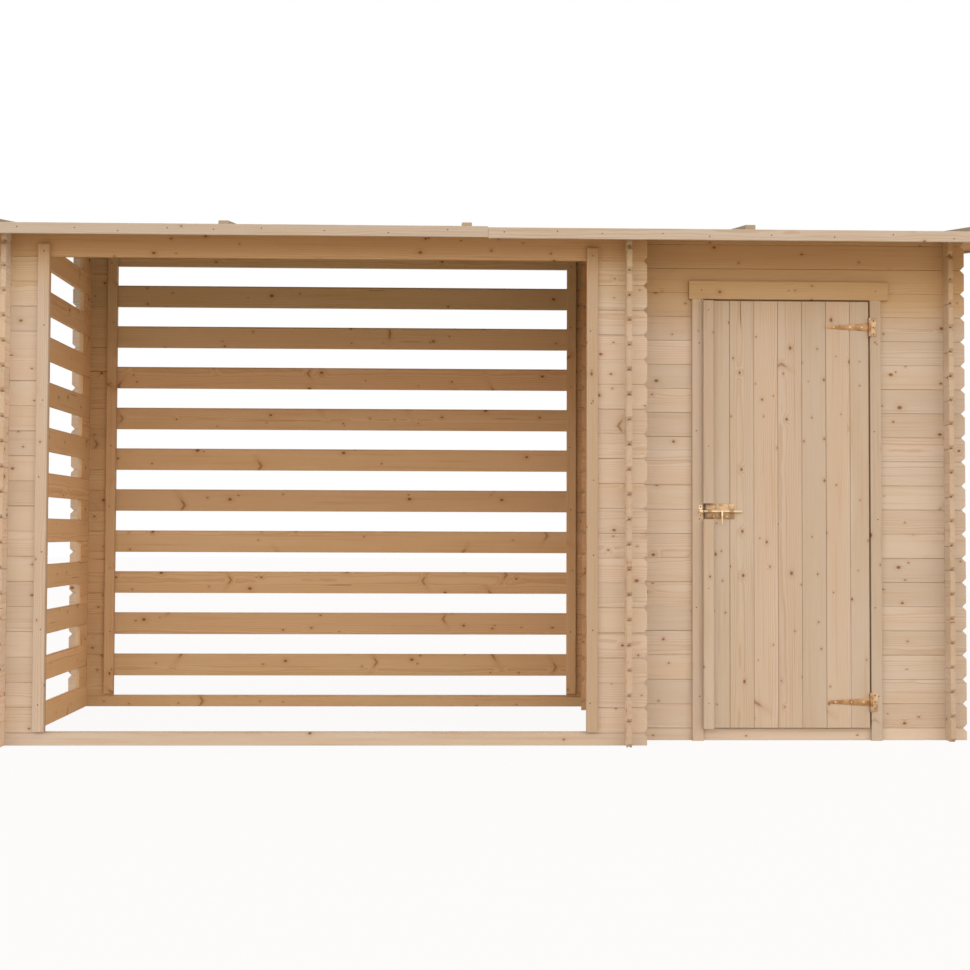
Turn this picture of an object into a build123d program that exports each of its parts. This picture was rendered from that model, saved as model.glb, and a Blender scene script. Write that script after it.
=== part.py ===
from build123d import *
import math
import os

os.makedirs("parts", exist_ok=True)

# A timber log store with a tool shed beside it, under one roof that rises towards the back.
# The walls are interlocking planks laid flat on each other, half-lapped where walls cross.
# +X runs to the right along the front, +Y to the back, +Z up, in millimetres.
# The origin is on the ground under the middle of the roof.

# ---------------------------------------------------------------- driving dimensions

# planks
board = 19.0  # thickness of every wall plank, post and trim
pitch = 96.0  # cover height of one plank
tongue_height = 5.0  # stands above the top edge of a plank that has none over it
tongue_thickness = 7.0
end_projection = 66.0  # plank end beyond the face of the wall it crosses
end_chamfer = 15.0  # V cut at the top and bottom corner of each plank end
lap_clearance = 0.5  # on each side of a cross lap

# plan, between wall centre lines
store_span = 2386.0
shed_span = 1292.0
store_depth = 1268.0
shed_setback = 146.0  # shed walls behind the store's front wall and in front of its back wall

# heights, in full planks above the half plank at the bottom
front_height = 1968.0  # the nearest even number of planks is built
rise_rows = 2  # planks that the back wall has more than the front wall

# store: short boards beside its openings, and the posts that hold their ends
front_return = 149.0  # from the side wall's inner face
back_return = 124.0
side_return = 138.0
post_width = 44.0
post_overhang = 2.0  # post past the ends of the boards
front_post_foot = 54.0  # post's lower end above the ground
back_post_foot = 62.0
post_lap = 45.0  # post over the plank at its top

# roof
roof_planing = 4.0  # taken off the top plank of the front wall at its centre line
deck_thickness = 19.0
felt_thickness = 2.0
front_overhang = 162.0  # along the slope, from the wall's centre line to the deck's edge
back_overhang = 162.0
side_overhang = 360.0
fascia_height = 41.0
fascia_drop = 10.0  # fascia below the underside of the deck
fascia_joint_x = 0.0  # where the two boards of a fascia meet
fascia_joint_gap = 1.0
fascia_step = 4.0  # right board set lower than the left one
batten_width = 38.0
batten_height = 24.0
batten_past_wall = 12.0  # outer battens outside the centre lines of the outer walls
batten_spacing = 857.0  # from an outer batten to the next one
middle_batten_x = -80.0

# door
door_gap = 8.0  # round the edges of the leaf
door_standoff = 5.0  # leaf in front of the wall and of its trims
leaf_left = 324.0  # leaf's free edge from the dividing wall's centre line
leaf_width = 650.0
leaf_foot = 52.0
leaf_head = 1738.0
leaf_lap = 12.0  # leaf over the edge of the wall's opening
jamb_width = 44.0
header_height = 73.0
header_past_left = 12.0
header_past_right = 29.0
strip_width = 42.0
strip_overlap = 12.0  # closing strip past the leaf's free edge
strip_drop = 2.0
ledge_height = 96.0
ledge_inset = 15.0
ledge_heights = (200.0, 880.0, 1560.0)  # middle of each ledge

# hinges
hinge_heights = (153.0, 1637.0)
strap_length = 168.0
strap_root = 31.0
strap_tip = 12.0
metal = 2.5  # sheet of straps and plates
knuckle_radius = 6.0
hinge_pin_radius = 3.0
pin_clearance = 0.1
knuckle_gap = 0.5
hinge_plate_width = 24.0
hinge_plate_height = 74.0
knuckle_standoff = 1.0  # knuckle in front of the leaf

# barrel bolt
bolt_height = 903.0
bolt_radius = 4.5
bolt_length = 150.0
bolt_past_edge = 8.0  # drawn bolt past the leaf's free edge
bolt_above_plate = 2.0
bolt_plate_length = 112.0
bolt_plate_height = 60.0
bolt_plate_inset = 2.0
guide_width = 14.0
guide_inset = 6.0  # guides from the ends of the plate
guide_wall = 2.5
handle_offset = 71.0  # from the bolt's free end to its handle
handle_width = 6.0
handle_thickness = 4.5
handle_drop = 50.0
strip_cut = 31.0  # half the height of the break in the closing strip
keeper_width = 14.0
keeper_height = 50.0
keeper_clearance = 1.0
keeper_inset = 5.0  # keeper from the jamb's inner edge

# ---------------------------------------------------------------- worked out

half_plank = pitch / 2
x_left = -(store_span + shed_span) / 2
x_divider = x_left + store_span
x_right = x_divider + shed_span
y_store_front = -store_depth / 2
y_store_back = store_depth / 2
y_shed_front = y_store_front + shed_setback
y_shed_back = y_store_back - shed_setback
past = board / 2 + end_projection  # plank end beyond the crossed wall's centre line

front_rows = 2 * round((front_height - half_plank) / (2 * pitch))
back_rows = front_rows + rise_rows
eaves_height = half_plank + front_rows * pitch - roof_planing
roof_angle = math.degrees(math.atan2(rise_rows * pitch, store_depth))
slope_length = store_depth / math.cos(math.radians(roof_angle))
deck_front = -front_overhang
deck_back = slope_length + back_overhang
deck_half_width = (x_right - x_left) / 2 + side_overhang
roof_plane = Plane(origin=(0, y_store_front, eaves_height), x_dir=(1, 0, 0), z_dir=(0, 0, 1)).rotated(
    (roof_angle, 0, 0)
)

leaf_x0 = x_divider + leaf_left
leaf_x1 = leaf_x0 + leaf_width
wall_front = y_shed_front - board / 2
trim_front = wall_front - board
leaf_back = wall_front - door_standoff
leaf_front = leaf_back - board
strip_front = leaf_front - board
opening_x0 = leaf_x0 + leaf_lap
opening_x1 = leaf_x1 - leaf_lap
opening_head = leaf_head - leaf_lap
hinge_x = leaf_x1 + door_gap / 2
hinge_y = leaf_front - knuckle_radius - knuckle_standoff
bolt_y = leaf_front - metal - bolt_above_plate - bolt_radius
bolt_x0 = leaf_x0 - bolt_past_edge

# planks along X have their seams half a plank higher than planks along Y
seams_x = half_plank
seams_y = 0.0
rounding = 0.001  # share of a plank


# ---------------------------------------------------------------- helpers


def seam_heights(first_seam, low, high):
    """Heights of the plank seams from low to high, both included."""
    start = math.ceil((low - first_seam) / pitch - rounding)
    stop = math.floor((high - first_seam) / pitch + rounding)
    return [first_seam + pitch * row for row in range(start, stop + 1)]


def planking(plane, first_seam, ends, low, high, crossings=(), cut_ends=(True, True)):
    """Add planks between two heights, lapped at the crossings and V-cut at their free ends."""
    seams = seam_heights(first_seam, low - half_plank, high + half_plank)
    with BuildSketch(plane) as profile:
        with Locations(((ends[0] + ends[1]) / 2, (low + high) / 2)):
            Rectangle(ends[1] - ends[0], high - low)
        for crossing in crossings:
            with Locations(*[(crossing, seam) for seam in seams]):
                Rectangle(board + 2 * lap_clearance, half_plank, mode=Mode.SUBTRACT)
        for end, is_cut in zip(ends, cut_ends):
            if is_cut:
                with Locations(*[(end, seam) for seam in seams]):
                    Rectangle(
                        end_chamfer * math.sqrt(2),
                        end_chamfer * math.sqrt(2),
                        rotation=45,
                        mode=Mode.SUBTRACT,
                    )
    extrude(profile.sketch, amount=board / 2, both=True)


def along_x(y):
    """Elevation plane of a wall along X, with its planks centred on y."""
    return Plane(origin=(0, y, 0), x_dir=(1, 0, 0), z_dir=(0, -1, 0))


def along_y(x):
    """Elevation plane of a wall along Y, with its planks centred on x."""
    return Plane(origin=(x, 0, 0), x_dir=(0, 1, 0), z_dir=(1, 0, 0))


def tongue(plane, ends, height):
    """Add the tongue on the top edge of a plank that has no plank on it."""
    with BuildSketch(plane) as profile:
        with Locations(((ends[0] + ends[1]) / 2, height + tongue_height / 2)):
            Rectangle(ends[1] - ends[0], tongue_height)
    extrude(profile.sketch, amount=tongue_thickness / 2, both=True)


def row_span(first_seam, row):
    """Lower and upper seam of a full plank, counted from 1 along X and from 0 along Y."""
    low = first_seam + pitch * (row - 1 if first_seam else row)
    return low, low + pitch


def under_roof():
    """Cut the planks to the underside of the roof."""
    split(bisect_by=roof_plane, keep=Keep.BOTTOM)


def slab(x0, x1, y0, y1, z0, z1):
    """Add a block between two corners."""
    with BuildSketch(Plane.XY.offset(z0)) as profile:
        with Locations(((x0 + x1) / 2, (y0 + y1) / 2)):
            Rectangle(x1 - x0, y1 - y0)
    extrude(profile.sketch, amount=z1 - z0)


def roof_slab(x0, x1, v0, v1, w0, w1):
    """Add a block in the roof's own frame: v runs up the slope and w stands off the underside."""
    with BuildSketch(roof_plane.offset(w0)) as profile:
        with Locations(((x0 + x1) / 2, (v0 + v1) / 2)):
            Rectangle(x1 - x0, v1 - v0)
    extrude(profile.sketch, amount=w1 - w0)


def save(piece, node):
    """Label a finished piece and write its STEP file."""
    piece.part.label = node
    export_step(piece.part, f"parts/{node}.step")


# ---------------------------------------------------------------- store, front

store_inner_left = x_left + board / 2
store_inner_right = x_divider - board / 2
store_ends = (x_left - past, x_divider + past)
store_corners = (x_left, x_divider)
front_open = (store_inner_left + front_return, store_inner_right - front_return)
front_elevation = along_x(y_store_front)
beam_low, beam_high = row_span(seams_x, front_rows)

with BuildPart() as front_sill:
    planking(front_elevation, seams_x, store_ends, 0, half_plank, store_corners)
    tongue(front_elevation, front_open, half_plank)
save(front_sill, "store_front_sill")

with BuildPart() as front_beam:
    planking(front_elevation, seams_x, store_ends, beam_low, beam_high, store_corners)
    under_roof()
save(front_beam, "store_front_beam")

front_boards = (
    ("left", (store_ends[0], front_open[0]), x_left, (True, False)),
    ("right", (front_open[1], store_ends[1]), x_divider, (False, True)),
)
for side, ends, corner, cut_ends in front_boards:
    with BuildPart() as boards:
        planking(front_elevation, seams_x, ends, half_plank, beam_low, (corner,), cut_ends)
    save(boards, f"store_front_{side}_boards")

front_post_x = (
    ("left", front_open[0] + post_overhang - post_width),
    ("right", front_open[1] - post_overhang),
)
post_front_y = y_store_front - board / 2 - board
for side, post_x in front_post_x:
    with BuildPart() as post:
        slab(
            post_x,
            post_x + post_width,
            post_front_y,
            post_front_y + board,
            front_post_foot,
            beam_low + post_lap,
        )
    save(post, f"store_front_{side}_post")

# ---------------------------------------------------------------- store, left side

left_elevation = along_y(x_left)
side_ends = (y_store_front - past, y_store_back + past)
side_corners = (y_store_front, y_store_back)
side_open = (y_store_front + board / 2 + side_return, y_store_back - board / 2 - side_return)

with BuildPart() as left_slats:
    for row in range(0, back_rows + 1, 2):
        low, high = row_span(seams_y, row)
        planking(left_elevation, seams_y, side_ends, low, high, side_corners)
        tongue(left_elevation, side_open, high)
    under_roof()
save(left_slats, "store_left_slats")

with BuildPart() as left_front_fillers:
    for row in range(1, front_rows, 2):
        low, high = row_span(seams_y, row)
        planking(
            left_elevation, seams_y, (side_ends[0], side_open[0]), low, high, (y_store_front,), (True, False)
        )
save(left_front_fillers, "store_left_front_fillers")

with BuildPart() as left_back_fillers:
    for row in range(1, back_rows, 2):
        low, high = row_span(seams_y, row)
        planking(
            left_elevation, seams_y, (side_open[1], side_ends[1]), low, high, (y_store_back,), (False, True)
        )
save(left_back_fillers, "store_left_back_fillers")

# ---------------------------------------------------------------- store, back

back_elevation = along_x(y_store_back)
back_open = (store_inner_left + back_return, store_inner_right - back_return)

with BuildPart() as back_sill:
    planking(back_elevation, seams_x, store_ends, 0, half_plank, store_corners)
    tongue(back_elevation, back_open, half_plank)
save(back_sill, "store_back_sill")

with BuildPart() as back_slats:
    for row in range(2, back_rows + 1, 2):
        low, high = row_span(seams_x, row)
        planking(back_elevation, seams_x, store_ends, low, high, store_corners)
        tongue(back_elevation, back_open, high)
    under_roof()
save(back_slats, "store_back_slats")

back_boards = (
    ("left", (store_ends[0], back_open[0]), x_left, (True, False)),
    ("right", (back_open[1], store_ends[1]), x_divider, (False, True)),
)
for side, ends, corner, cut_ends in back_boards:
    with BuildPart() as fillers:
        for row in range(1, back_rows, 2):
            low, high = row_span(seams_x, row)
            planking(back_elevation, seams_x, ends, low, high, (corner,), cut_ends)
    save(fillers, f"store_back_{side}_fillers")

back_post_x = (
    ("left", back_open[0] + post_overhang - post_width),
    ("right", back_open[1] - post_overhang),
)
post_back_y = y_store_back - board / 2 - board
top_slat_low = row_span(seams_x, back_rows)[0]
for side, post_x in back_post_x:
    with BuildPart() as post:
        slab(
            post_x,
            post_x + post_width,
            post_back_y,
            post_back_y + board,
            back_post_foot,
            top_slat_low + post_lap,
        )
    save(post, f"store_back_{side}_post")

# ---------------------------------------------------------------- walls shared and round the shed

divider_corners = (y_store_front, y_shed_front, y_shed_back, y_store_back)
wall_top = half_plank + (back_rows + 2) * pitch

with BuildPart() as dividing_wall:
    planking(along_y(x_divider), seams_y, side_ends, 0, wall_top, divider_corners)
    under_roof()
save(dividing_wall, "dividing_wall")

shed_ends_y = (y_shed_front - past, y_shed_back + past)
shed_corners_y = (y_shed_front, y_shed_back)
with BuildPart() as right_wall:
    planking(along_y(x_right), seams_y, shed_ends_y, 0, wall_top, shed_corners_y)
    under_roof()
save(right_wall, "shed_right_wall")

shed_ends_x = (x_divider - past, x_right + past)
shed_corners_x = (x_divider, x_right)
with BuildPart() as shed_back:
    planking(along_x(y_shed_back), seams_x, shed_ends_x, 0, wall_top, shed_corners_x)
    under_roof()
save(shed_back, "shed_back_wall")

shed_front_plane = along_x(y_shed_front)
head_seam = seam_heights(seams_x, 0, opening_head)[-1]  # last full seam below the opening's head

with BuildPart() as shed_sill:
    planking(shed_front_plane, seams_x, shed_ends_x, 0, half_plank, shed_corners_x)
    tongue(shed_front_plane, (opening_x0, opening_x1), half_plank)
save(shed_sill, "shed_front_sill")

shed_front_walls = (
    ("left", (shed_ends_x[0], opening_x0), x_divider, (True, False)),
    ("right", (opening_x1, shed_ends_x[1]), x_right, (False, True)),
)
for side, ends, corner, cut_ends in shed_front_walls:
    with BuildPart() as front_wall:
        planking(shed_front_plane, seams_x, ends, half_plank, head_seam, (corner,), cut_ends)
    save(front_wall, f"shed_front_{side}_wall")

with BuildPart() as upper_wall:
    planking(shed_front_plane, seams_x, shed_ends_x, head_seam, wall_top, shed_corners_x)
    with BuildSketch(shed_front_plane):
        with Locations(((opening_x0 + opening_x1) / 2, (head_seam + opening_head) / 2)):
            Rectangle(opening_x1 - opening_x0, opening_head - head_seam)
    extrude(amount=board, both=True, mode=Mode.SUBTRACT)
    under_roof()
save(upper_wall, "shed_front_upper_wall")

# ---------------------------------------------------------------- trims round the door

left_jamb_x1 = leaf_x0 - door_gap
left_jamb_x0 = left_jamb_x1 - jamb_width
right_jamb_x0 = leaf_x1 + door_gap
right_jamb_x1 = right_jamb_x0 + jamb_width
header_low = leaf_head + door_gap

for side, jamb_x in (("left", left_jamb_x0), ("right", right_jamb_x0)):
    with BuildPart() as jamb:
        slab(jamb_x, jamb_x + jamb_width, trim_front, wall_front, 0, header_low)
    save(jamb, f"door_{side}_jamb")

with BuildPart() as header:
    slab(
        left_jamb_x0 - header_past_left,
        right_jamb_x1 + header_past_right,
        trim_front,
        wall_front,
        header_low,
        header_low + header_height,
    )
save(header, "door_header")

# ---------------------------------------------------------------- door leaf

with BuildPart() as leaf:
    slab(leaf_x0, leaf_x1, leaf_front, leaf_back, leaf_foot, leaf_head)
save(leaf, "door_leaf")

with BuildPart() as ledges:
    for middle in ledge_heights:
        slab(
            opening_x0 + ledge_inset,
            opening_x1 - ledge_inset,
            leaf_back,
            leaf_back + board,
            middle - ledge_height / 2,
            middle + ledge_height / 2,
        )
save(ledges, "door_ledges")

strip_x0 = leaf_x0 - strip_overlap
strip_spans = ((leaf_foot - strip_drop, bolt_height - strip_cut), (bolt_height + strip_cut, leaf_head))
with BuildPart() as closing_strip:
    for low, high in strip_spans:
        slab(strip_x0, strip_x0 + strip_width, strip_front, leaf_front, low, high)
save(closing_strip, "door_closing_strip")

# ---------------------------------------------------------------- hinges

knuckle_half = strap_root / 2
for place, height in zip(("bottom", "top"), hinge_heights):
    pivot = Plane(origin=(hinge_x, hinge_y, height))
    sheet = Plane(origin=(hinge_x, leaf_front, height), x_dir=(-1, 0, 0), z_dir=(0, -1, 0))

    with BuildPart() as strap:
        with BuildSketch(sheet):
            with BuildLine():
                Polyline(
                    (0, strap_root / 2),
                    (0, -strap_root / 2),
                    (strap_length - strap_tip / 2, -strap_tip / 2),
                )
                ThreePointArc(
                    (strap_length - strap_tip / 2, -strap_tip / 2),
                    (strap_length, 0),
                    (strap_length - strap_tip / 2, strap_tip / 2),
                )
                Line((strap_length - strap_tip / 2, strap_tip / 2), (0, strap_root / 2))
            make_face()
        extrude(amount=metal)
        with BuildSketch(pivot):
            Circle(knuckle_radius)
        extrude(amount=knuckle_half, both=True)
        with BuildSketch(pivot):
            Circle(hinge_pin_radius + pin_clearance)
        extrude(amount=strap_root, both=True, mode=Mode.SUBTRACT)
    save(strap, f"{place}_hinge_strap")

    plate_x0 = hinge_x + knuckle_radius - metal
    plate_low = height - hinge_plate_height / 2
    plate_high = height + hinge_plate_height / 2
    with BuildPart() as plate:
        slab(plate_x0, plate_x0 + hinge_plate_width, trim_front - metal, trim_front, plate_low, plate_high)
        for turn, plate_end in ((-1, plate_low), (1, plate_high)):
            start = height + turn * (knuckle_half + knuckle_gap)
            web_low = min(start, plate_end)
            web_high = max(start, plate_end)
            slab(plate_x0, plate_x0 + metal, hinge_y, trim_front, web_low, web_high)
            with BuildSketch(Plane(origin=(hinge_x, hinge_y, web_low))):
                Circle(knuckle_radius)
            extrude(amount=web_high - web_low)
        with BuildSketch(pivot):
            Circle(hinge_pin_radius)
        extrude(amount=hinge_plate_height / 2, both=True)
    save(plate, f"{place}_hinge_plate")

# ---------------------------------------------------------------- barrel bolt

bolt_plate_x0 = leaf_x0 + bolt_plate_inset
bolt_plate_x1 = bolt_plate_x0 + bolt_plate_length


def loop_profile(bore, foot_y):
    """Draw the section of a loop round the bolt, from its plate at foot_y."""
    outer = bore + guide_wall
    with Locations((bolt_y, bolt_height)):
        Circle(outer)
    with Locations(((bolt_y + foot_y) / 2, bolt_height)):
        Rectangle(foot_y - bolt_y, 2 * outer)
    with Locations((bolt_y, bolt_height)):
        Circle(bore, mode=Mode.SUBTRACT)


guide_starts = (bolt_plate_x0 + guide_inset, bolt_plate_x1 - guide_inset - guide_width)
with BuildPart() as bolt_plate:
    slab(
        bolt_plate_x0,
        bolt_plate_x1,
        leaf_front - metal,
        leaf_front,
        bolt_height - bolt_plate_height / 2,
        bolt_height + bolt_plate_height / 2,
    )
    for start in guide_starts:
        with BuildSketch(Plane.YZ.offset(start)):
            loop_profile(bolt_radius + pin_clearance, leaf_front - metal)
        extrude(amount=guide_width)
save(bolt_plate, "bolt_plate")

keeper_x1 = left_jamb_x1 - keeper_inset
keeper_x0 = keeper_x1 - keeper_width
with BuildPart() as keeper:
    slab(
        keeper_x0,
        keeper_x1,
        trim_front - metal,
        trim_front,
        bolt_height - keeper_height / 2,
        bolt_height + keeper_height / 2,
    )
    with BuildSketch(Plane.YZ.offset(keeper_x0)):
        loop_profile(bolt_radius + keeper_clearance, trim_front - metal)
    extrude(amount=keeper_width)
save(keeper, "bolt_keeper")

handle_x = bolt_x0 + handle_offset
with BuildPart() as rod:
    with BuildSketch(Plane.YZ.offset(bolt_x0)):
        with Locations((bolt_y, bolt_height)):
            Circle(bolt_radius)
    extrude(amount=bolt_length)
    slab(
        handle_x - handle_width / 2,
        handle_x + handle_width / 2,
        bolt_y - bolt_radius - handle_thickness / 2,
        bolt_y - bolt_radius + handle_thickness / 2,
        bolt_height - handle_drop,
        bolt_height + bolt_radius,
    )
save(rod, "bolt_rod")

# ---------------------------------------------------------------- roof

with BuildPart() as deck:
    roof_slab(-deck_half_width, deck_half_width, deck_front, deck_back, 0, deck_thickness)
save(deck, "roof_deck")

felt_top = deck_thickness + felt_thickness
with BuildPart() as felt:
    roof_slab(-deck_half_width, deck_half_width, deck_front, deck_back, deck_thickness, felt_top)
save(felt, "roof_felt")

fascia_low = -fascia_drop
fascia_half_width = deck_half_width + board
fascia_boards = (
    ("left", -fascia_half_width, fascia_joint_x - fascia_joint_gap / 2, fascia_low),
    ("right", fascia_joint_x + fascia_joint_gap / 2, fascia_half_width, fascia_low - fascia_step),
)
for side, x0, x1, low in fascia_boards:
    with BuildPart() as front_fascia:
        roof_slab(x0, x1, deck_front - board, deck_front, low, low + fascia_height)
    save(front_fascia, f"front_fascia_{side}")
    with BuildPart() as back_fascia:
        roof_slab(x0, x1, deck_back, deck_back + board, low, low + fascia_height)
    save(back_fascia, f"back_fascia_{side}")

for side, x0 in (("left", -fascia_half_width), ("right", deck_half_width)):
    with BuildPart() as verge:
        roof_slab(x0, x0 + board, deck_front, deck_back, fascia_low, fascia_low + fascia_height)
    save(verge, f"{side}_verge_board")

outer_batten = x_right + batten_past_wall
inner_batten = outer_batten - batten_spacing
with BuildPart() as battens:
    for middle in (-outer_batten, -inner_batten, middle_batten_x, inner_batten, outer_batten):
        roof_slab(
            middle - batten_width / 2,
            middle + batten_width / 2,
            deck_front,
            deck_back,
            felt_top,
            felt_top + batten_height,
        )
save(battens, "roof_battens")
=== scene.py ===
"""Looks of a timber log store with a tool shed beside it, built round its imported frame.

The walls are interlocking planks, half-lapped where they cross and V-cut at their ends. Every board is
made once in its own frame, stacked by Geometry Nodes, and dressed in a grain that follows the board.
All lengths are in metres.
"""

from __future__ import annotations

import logging
import math
import random
from collections.abc import Callable, Iterable, Sequence
from dataclasses import dataclass, field, replace
from enum import Enum
from functools import reduce

import bmesh
import bpy
from mathutils import Matrix, Vector


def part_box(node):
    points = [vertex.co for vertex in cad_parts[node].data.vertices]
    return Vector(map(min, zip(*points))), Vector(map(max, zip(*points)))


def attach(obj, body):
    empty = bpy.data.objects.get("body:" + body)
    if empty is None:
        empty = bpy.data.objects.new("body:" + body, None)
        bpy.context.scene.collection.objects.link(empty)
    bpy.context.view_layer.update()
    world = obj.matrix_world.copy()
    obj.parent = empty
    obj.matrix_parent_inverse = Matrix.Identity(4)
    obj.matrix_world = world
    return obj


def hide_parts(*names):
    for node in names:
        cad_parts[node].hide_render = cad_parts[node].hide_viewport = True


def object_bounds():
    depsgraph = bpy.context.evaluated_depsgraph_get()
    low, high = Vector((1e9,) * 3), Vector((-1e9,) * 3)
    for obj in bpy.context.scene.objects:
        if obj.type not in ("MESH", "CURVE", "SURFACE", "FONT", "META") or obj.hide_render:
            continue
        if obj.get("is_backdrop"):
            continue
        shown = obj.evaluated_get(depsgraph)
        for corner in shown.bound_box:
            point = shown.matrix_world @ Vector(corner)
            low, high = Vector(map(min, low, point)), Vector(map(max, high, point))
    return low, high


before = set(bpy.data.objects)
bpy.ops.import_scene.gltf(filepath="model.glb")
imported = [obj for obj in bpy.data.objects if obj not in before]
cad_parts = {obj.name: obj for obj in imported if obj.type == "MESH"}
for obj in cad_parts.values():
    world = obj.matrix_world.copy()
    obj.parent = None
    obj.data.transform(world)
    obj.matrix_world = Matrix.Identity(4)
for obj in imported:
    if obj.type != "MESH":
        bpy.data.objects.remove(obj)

Mesh, Tree = bpy.types.Mesh, bpy.types.NodeTree

LOG = logging.getLogger("log_store")

Colour = tuple[float, float, float]
Triple = tuple[float, float, float]
Span = tuple[float, float]
Box = tuple[Vector, Vector]  # lowest and highest corner
Place = tuple[Vector, Vector]  # a point and the way that it faces
Row = tuple["Board", int, int, int, float]  # board, place in its panel, number, seed and slack

# ---- sizes shared by every board

BOARD = 0.019  # thickness of planks, posts and trims
PITCH = 0.096  # cover height of a wall plank
HALF = PITCH / 2
LAP_DEPTH = PITCH / 4  # cut from each edge where walls cross
LAP_SPARE = 0.0005  # on each side of a lap
NOSE = 0.015  # V cut at the corners of a plank end
SEAM_GAP = 0.0008  # between the shoulders of two planks
SLIP = 0.0005  # how far a plank may sit off its level
WAVER = 0.0004  # how far its face may stand proud
ARRIS = 0.0011  # planed edge of a plank
TRIM_ARRIS = 0.0016  # planed edge of a post, a trim or a roof board
TONGUE = 0.007  # thickness of a plank's tongue
TONGUE_RISE = 0.005
GROOVE_SPARE = 0.0003  # on each side of the tongue
GROOVE_DEPTH = TONGUE_RISE + 0.001
SLIVER = 0.002  # a height too small for another plank

RIGHT, FRONT, UP = Vector((1, 0, 0)), Vector((0, -1, 0)), Vector((0, 0, 1))


class Run(Enum):
    """Which way a board's length, width and thickness point; each is a proper rotation."""

    ALONG_X = ((1, 0, 0), (0, 1, 0), (0, 0, 1))
    ALONG_Y = ((0, 1, 0), (-1, 0, 0), (0, 0, 1))
    UPRIGHT = ((0, 0, 1), (0, -1, 0), (1, 0, 0))
    FLAT_ALONG_Y = ((0, 1, 0), (0, 0, 1), (1, 0, 0))

    def matrix(self) -> Matrix:
        """The turn from the board's frame (length, thickness, width) to the row frame."""
        return Matrix(self.value).transposed().to_4x4()


class Body(Enum):
    """The three bodies of the frame."""

    BUILDING = "building"
    DOOR = "door"
    BOLT = "bolt"


class Slot(Enum):
    """The record's material slots."""

    WALL = "wall_planks"
    TRIM = "trim_timber"
    DOOR = "door_timber"
    HINGE = "hinge_steel"
    BOLT = "bolt_zinc"
    ROOF = "roof_boards"


class Look(Enum):
    """The finishes, by the names of their materials."""

    PLANKS = "spruce_planks"
    SHELTERED = "spruce_sheltered"
    SHED_LEFT = "spruce_shed_left"
    SHED_RIGHT = "spruce_shed_right"
    SLATS = "spruce_slats"
    SIDE_SLATS = "spruce_side_slats"
    DIVIDER = "spruce_divider"
    TRIM = "spruce_trim"
    LEFT_POST = "spruce_left_post"
    RIGHT_POST = "spruce_right_post"
    DOOR = "spruce_door"
    HEADER = "spruce_header"
    ROOF = "spruce_roof"
    FELT = "slate_felt"
    STRAP = "yellow_zinc"
    PLATE = "pale_zinc"
    BOLT = "dull_zinc"
    ROD = "bright_zinc"
    NAIL = "nail_steel"


# ---- node graphs


def arithmetic(operation: str, swapped: bool = False) -> Callable[[Wire, Value], Wire]:
    """An operator of Wire that adds a Math node.

    Args:
        operation: The node's operation.
        swapped: Whether the other value comes first.

    Returns:
        The method.
    """

    def method(self: Wire, other: Value) -> Wire:
        """The operation on self and other."""
        return self.graph.math(operation, *((other, self) if swapped else (self, other)))

    return method


@dataclass(frozen=True)
class Wire:
    """An output socket that takes part in Python arithmetic on values."""

    graph: Graph
    socket: bpy.types.NodeSocket | None

    __add__ = __radd__ = arithmetic("ADD")
    __sub__ = arithmetic("SUBTRACT")
    __rsub__ = arithmetic("SUBTRACT", swapped=True)
    __mul__ = __rmul__ = arithmetic("MULTIPLY")
    __truediv__ = arithmetic("DIVIDE")
    __pow__ = arithmetic("POWER")

    def beside(self, key: str | int) -> Wire:
        """Another output of the same node, by name or index."""
        return Wire(self.graph, self.socket.node.outputs[key])


Value = Wire | float


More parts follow.
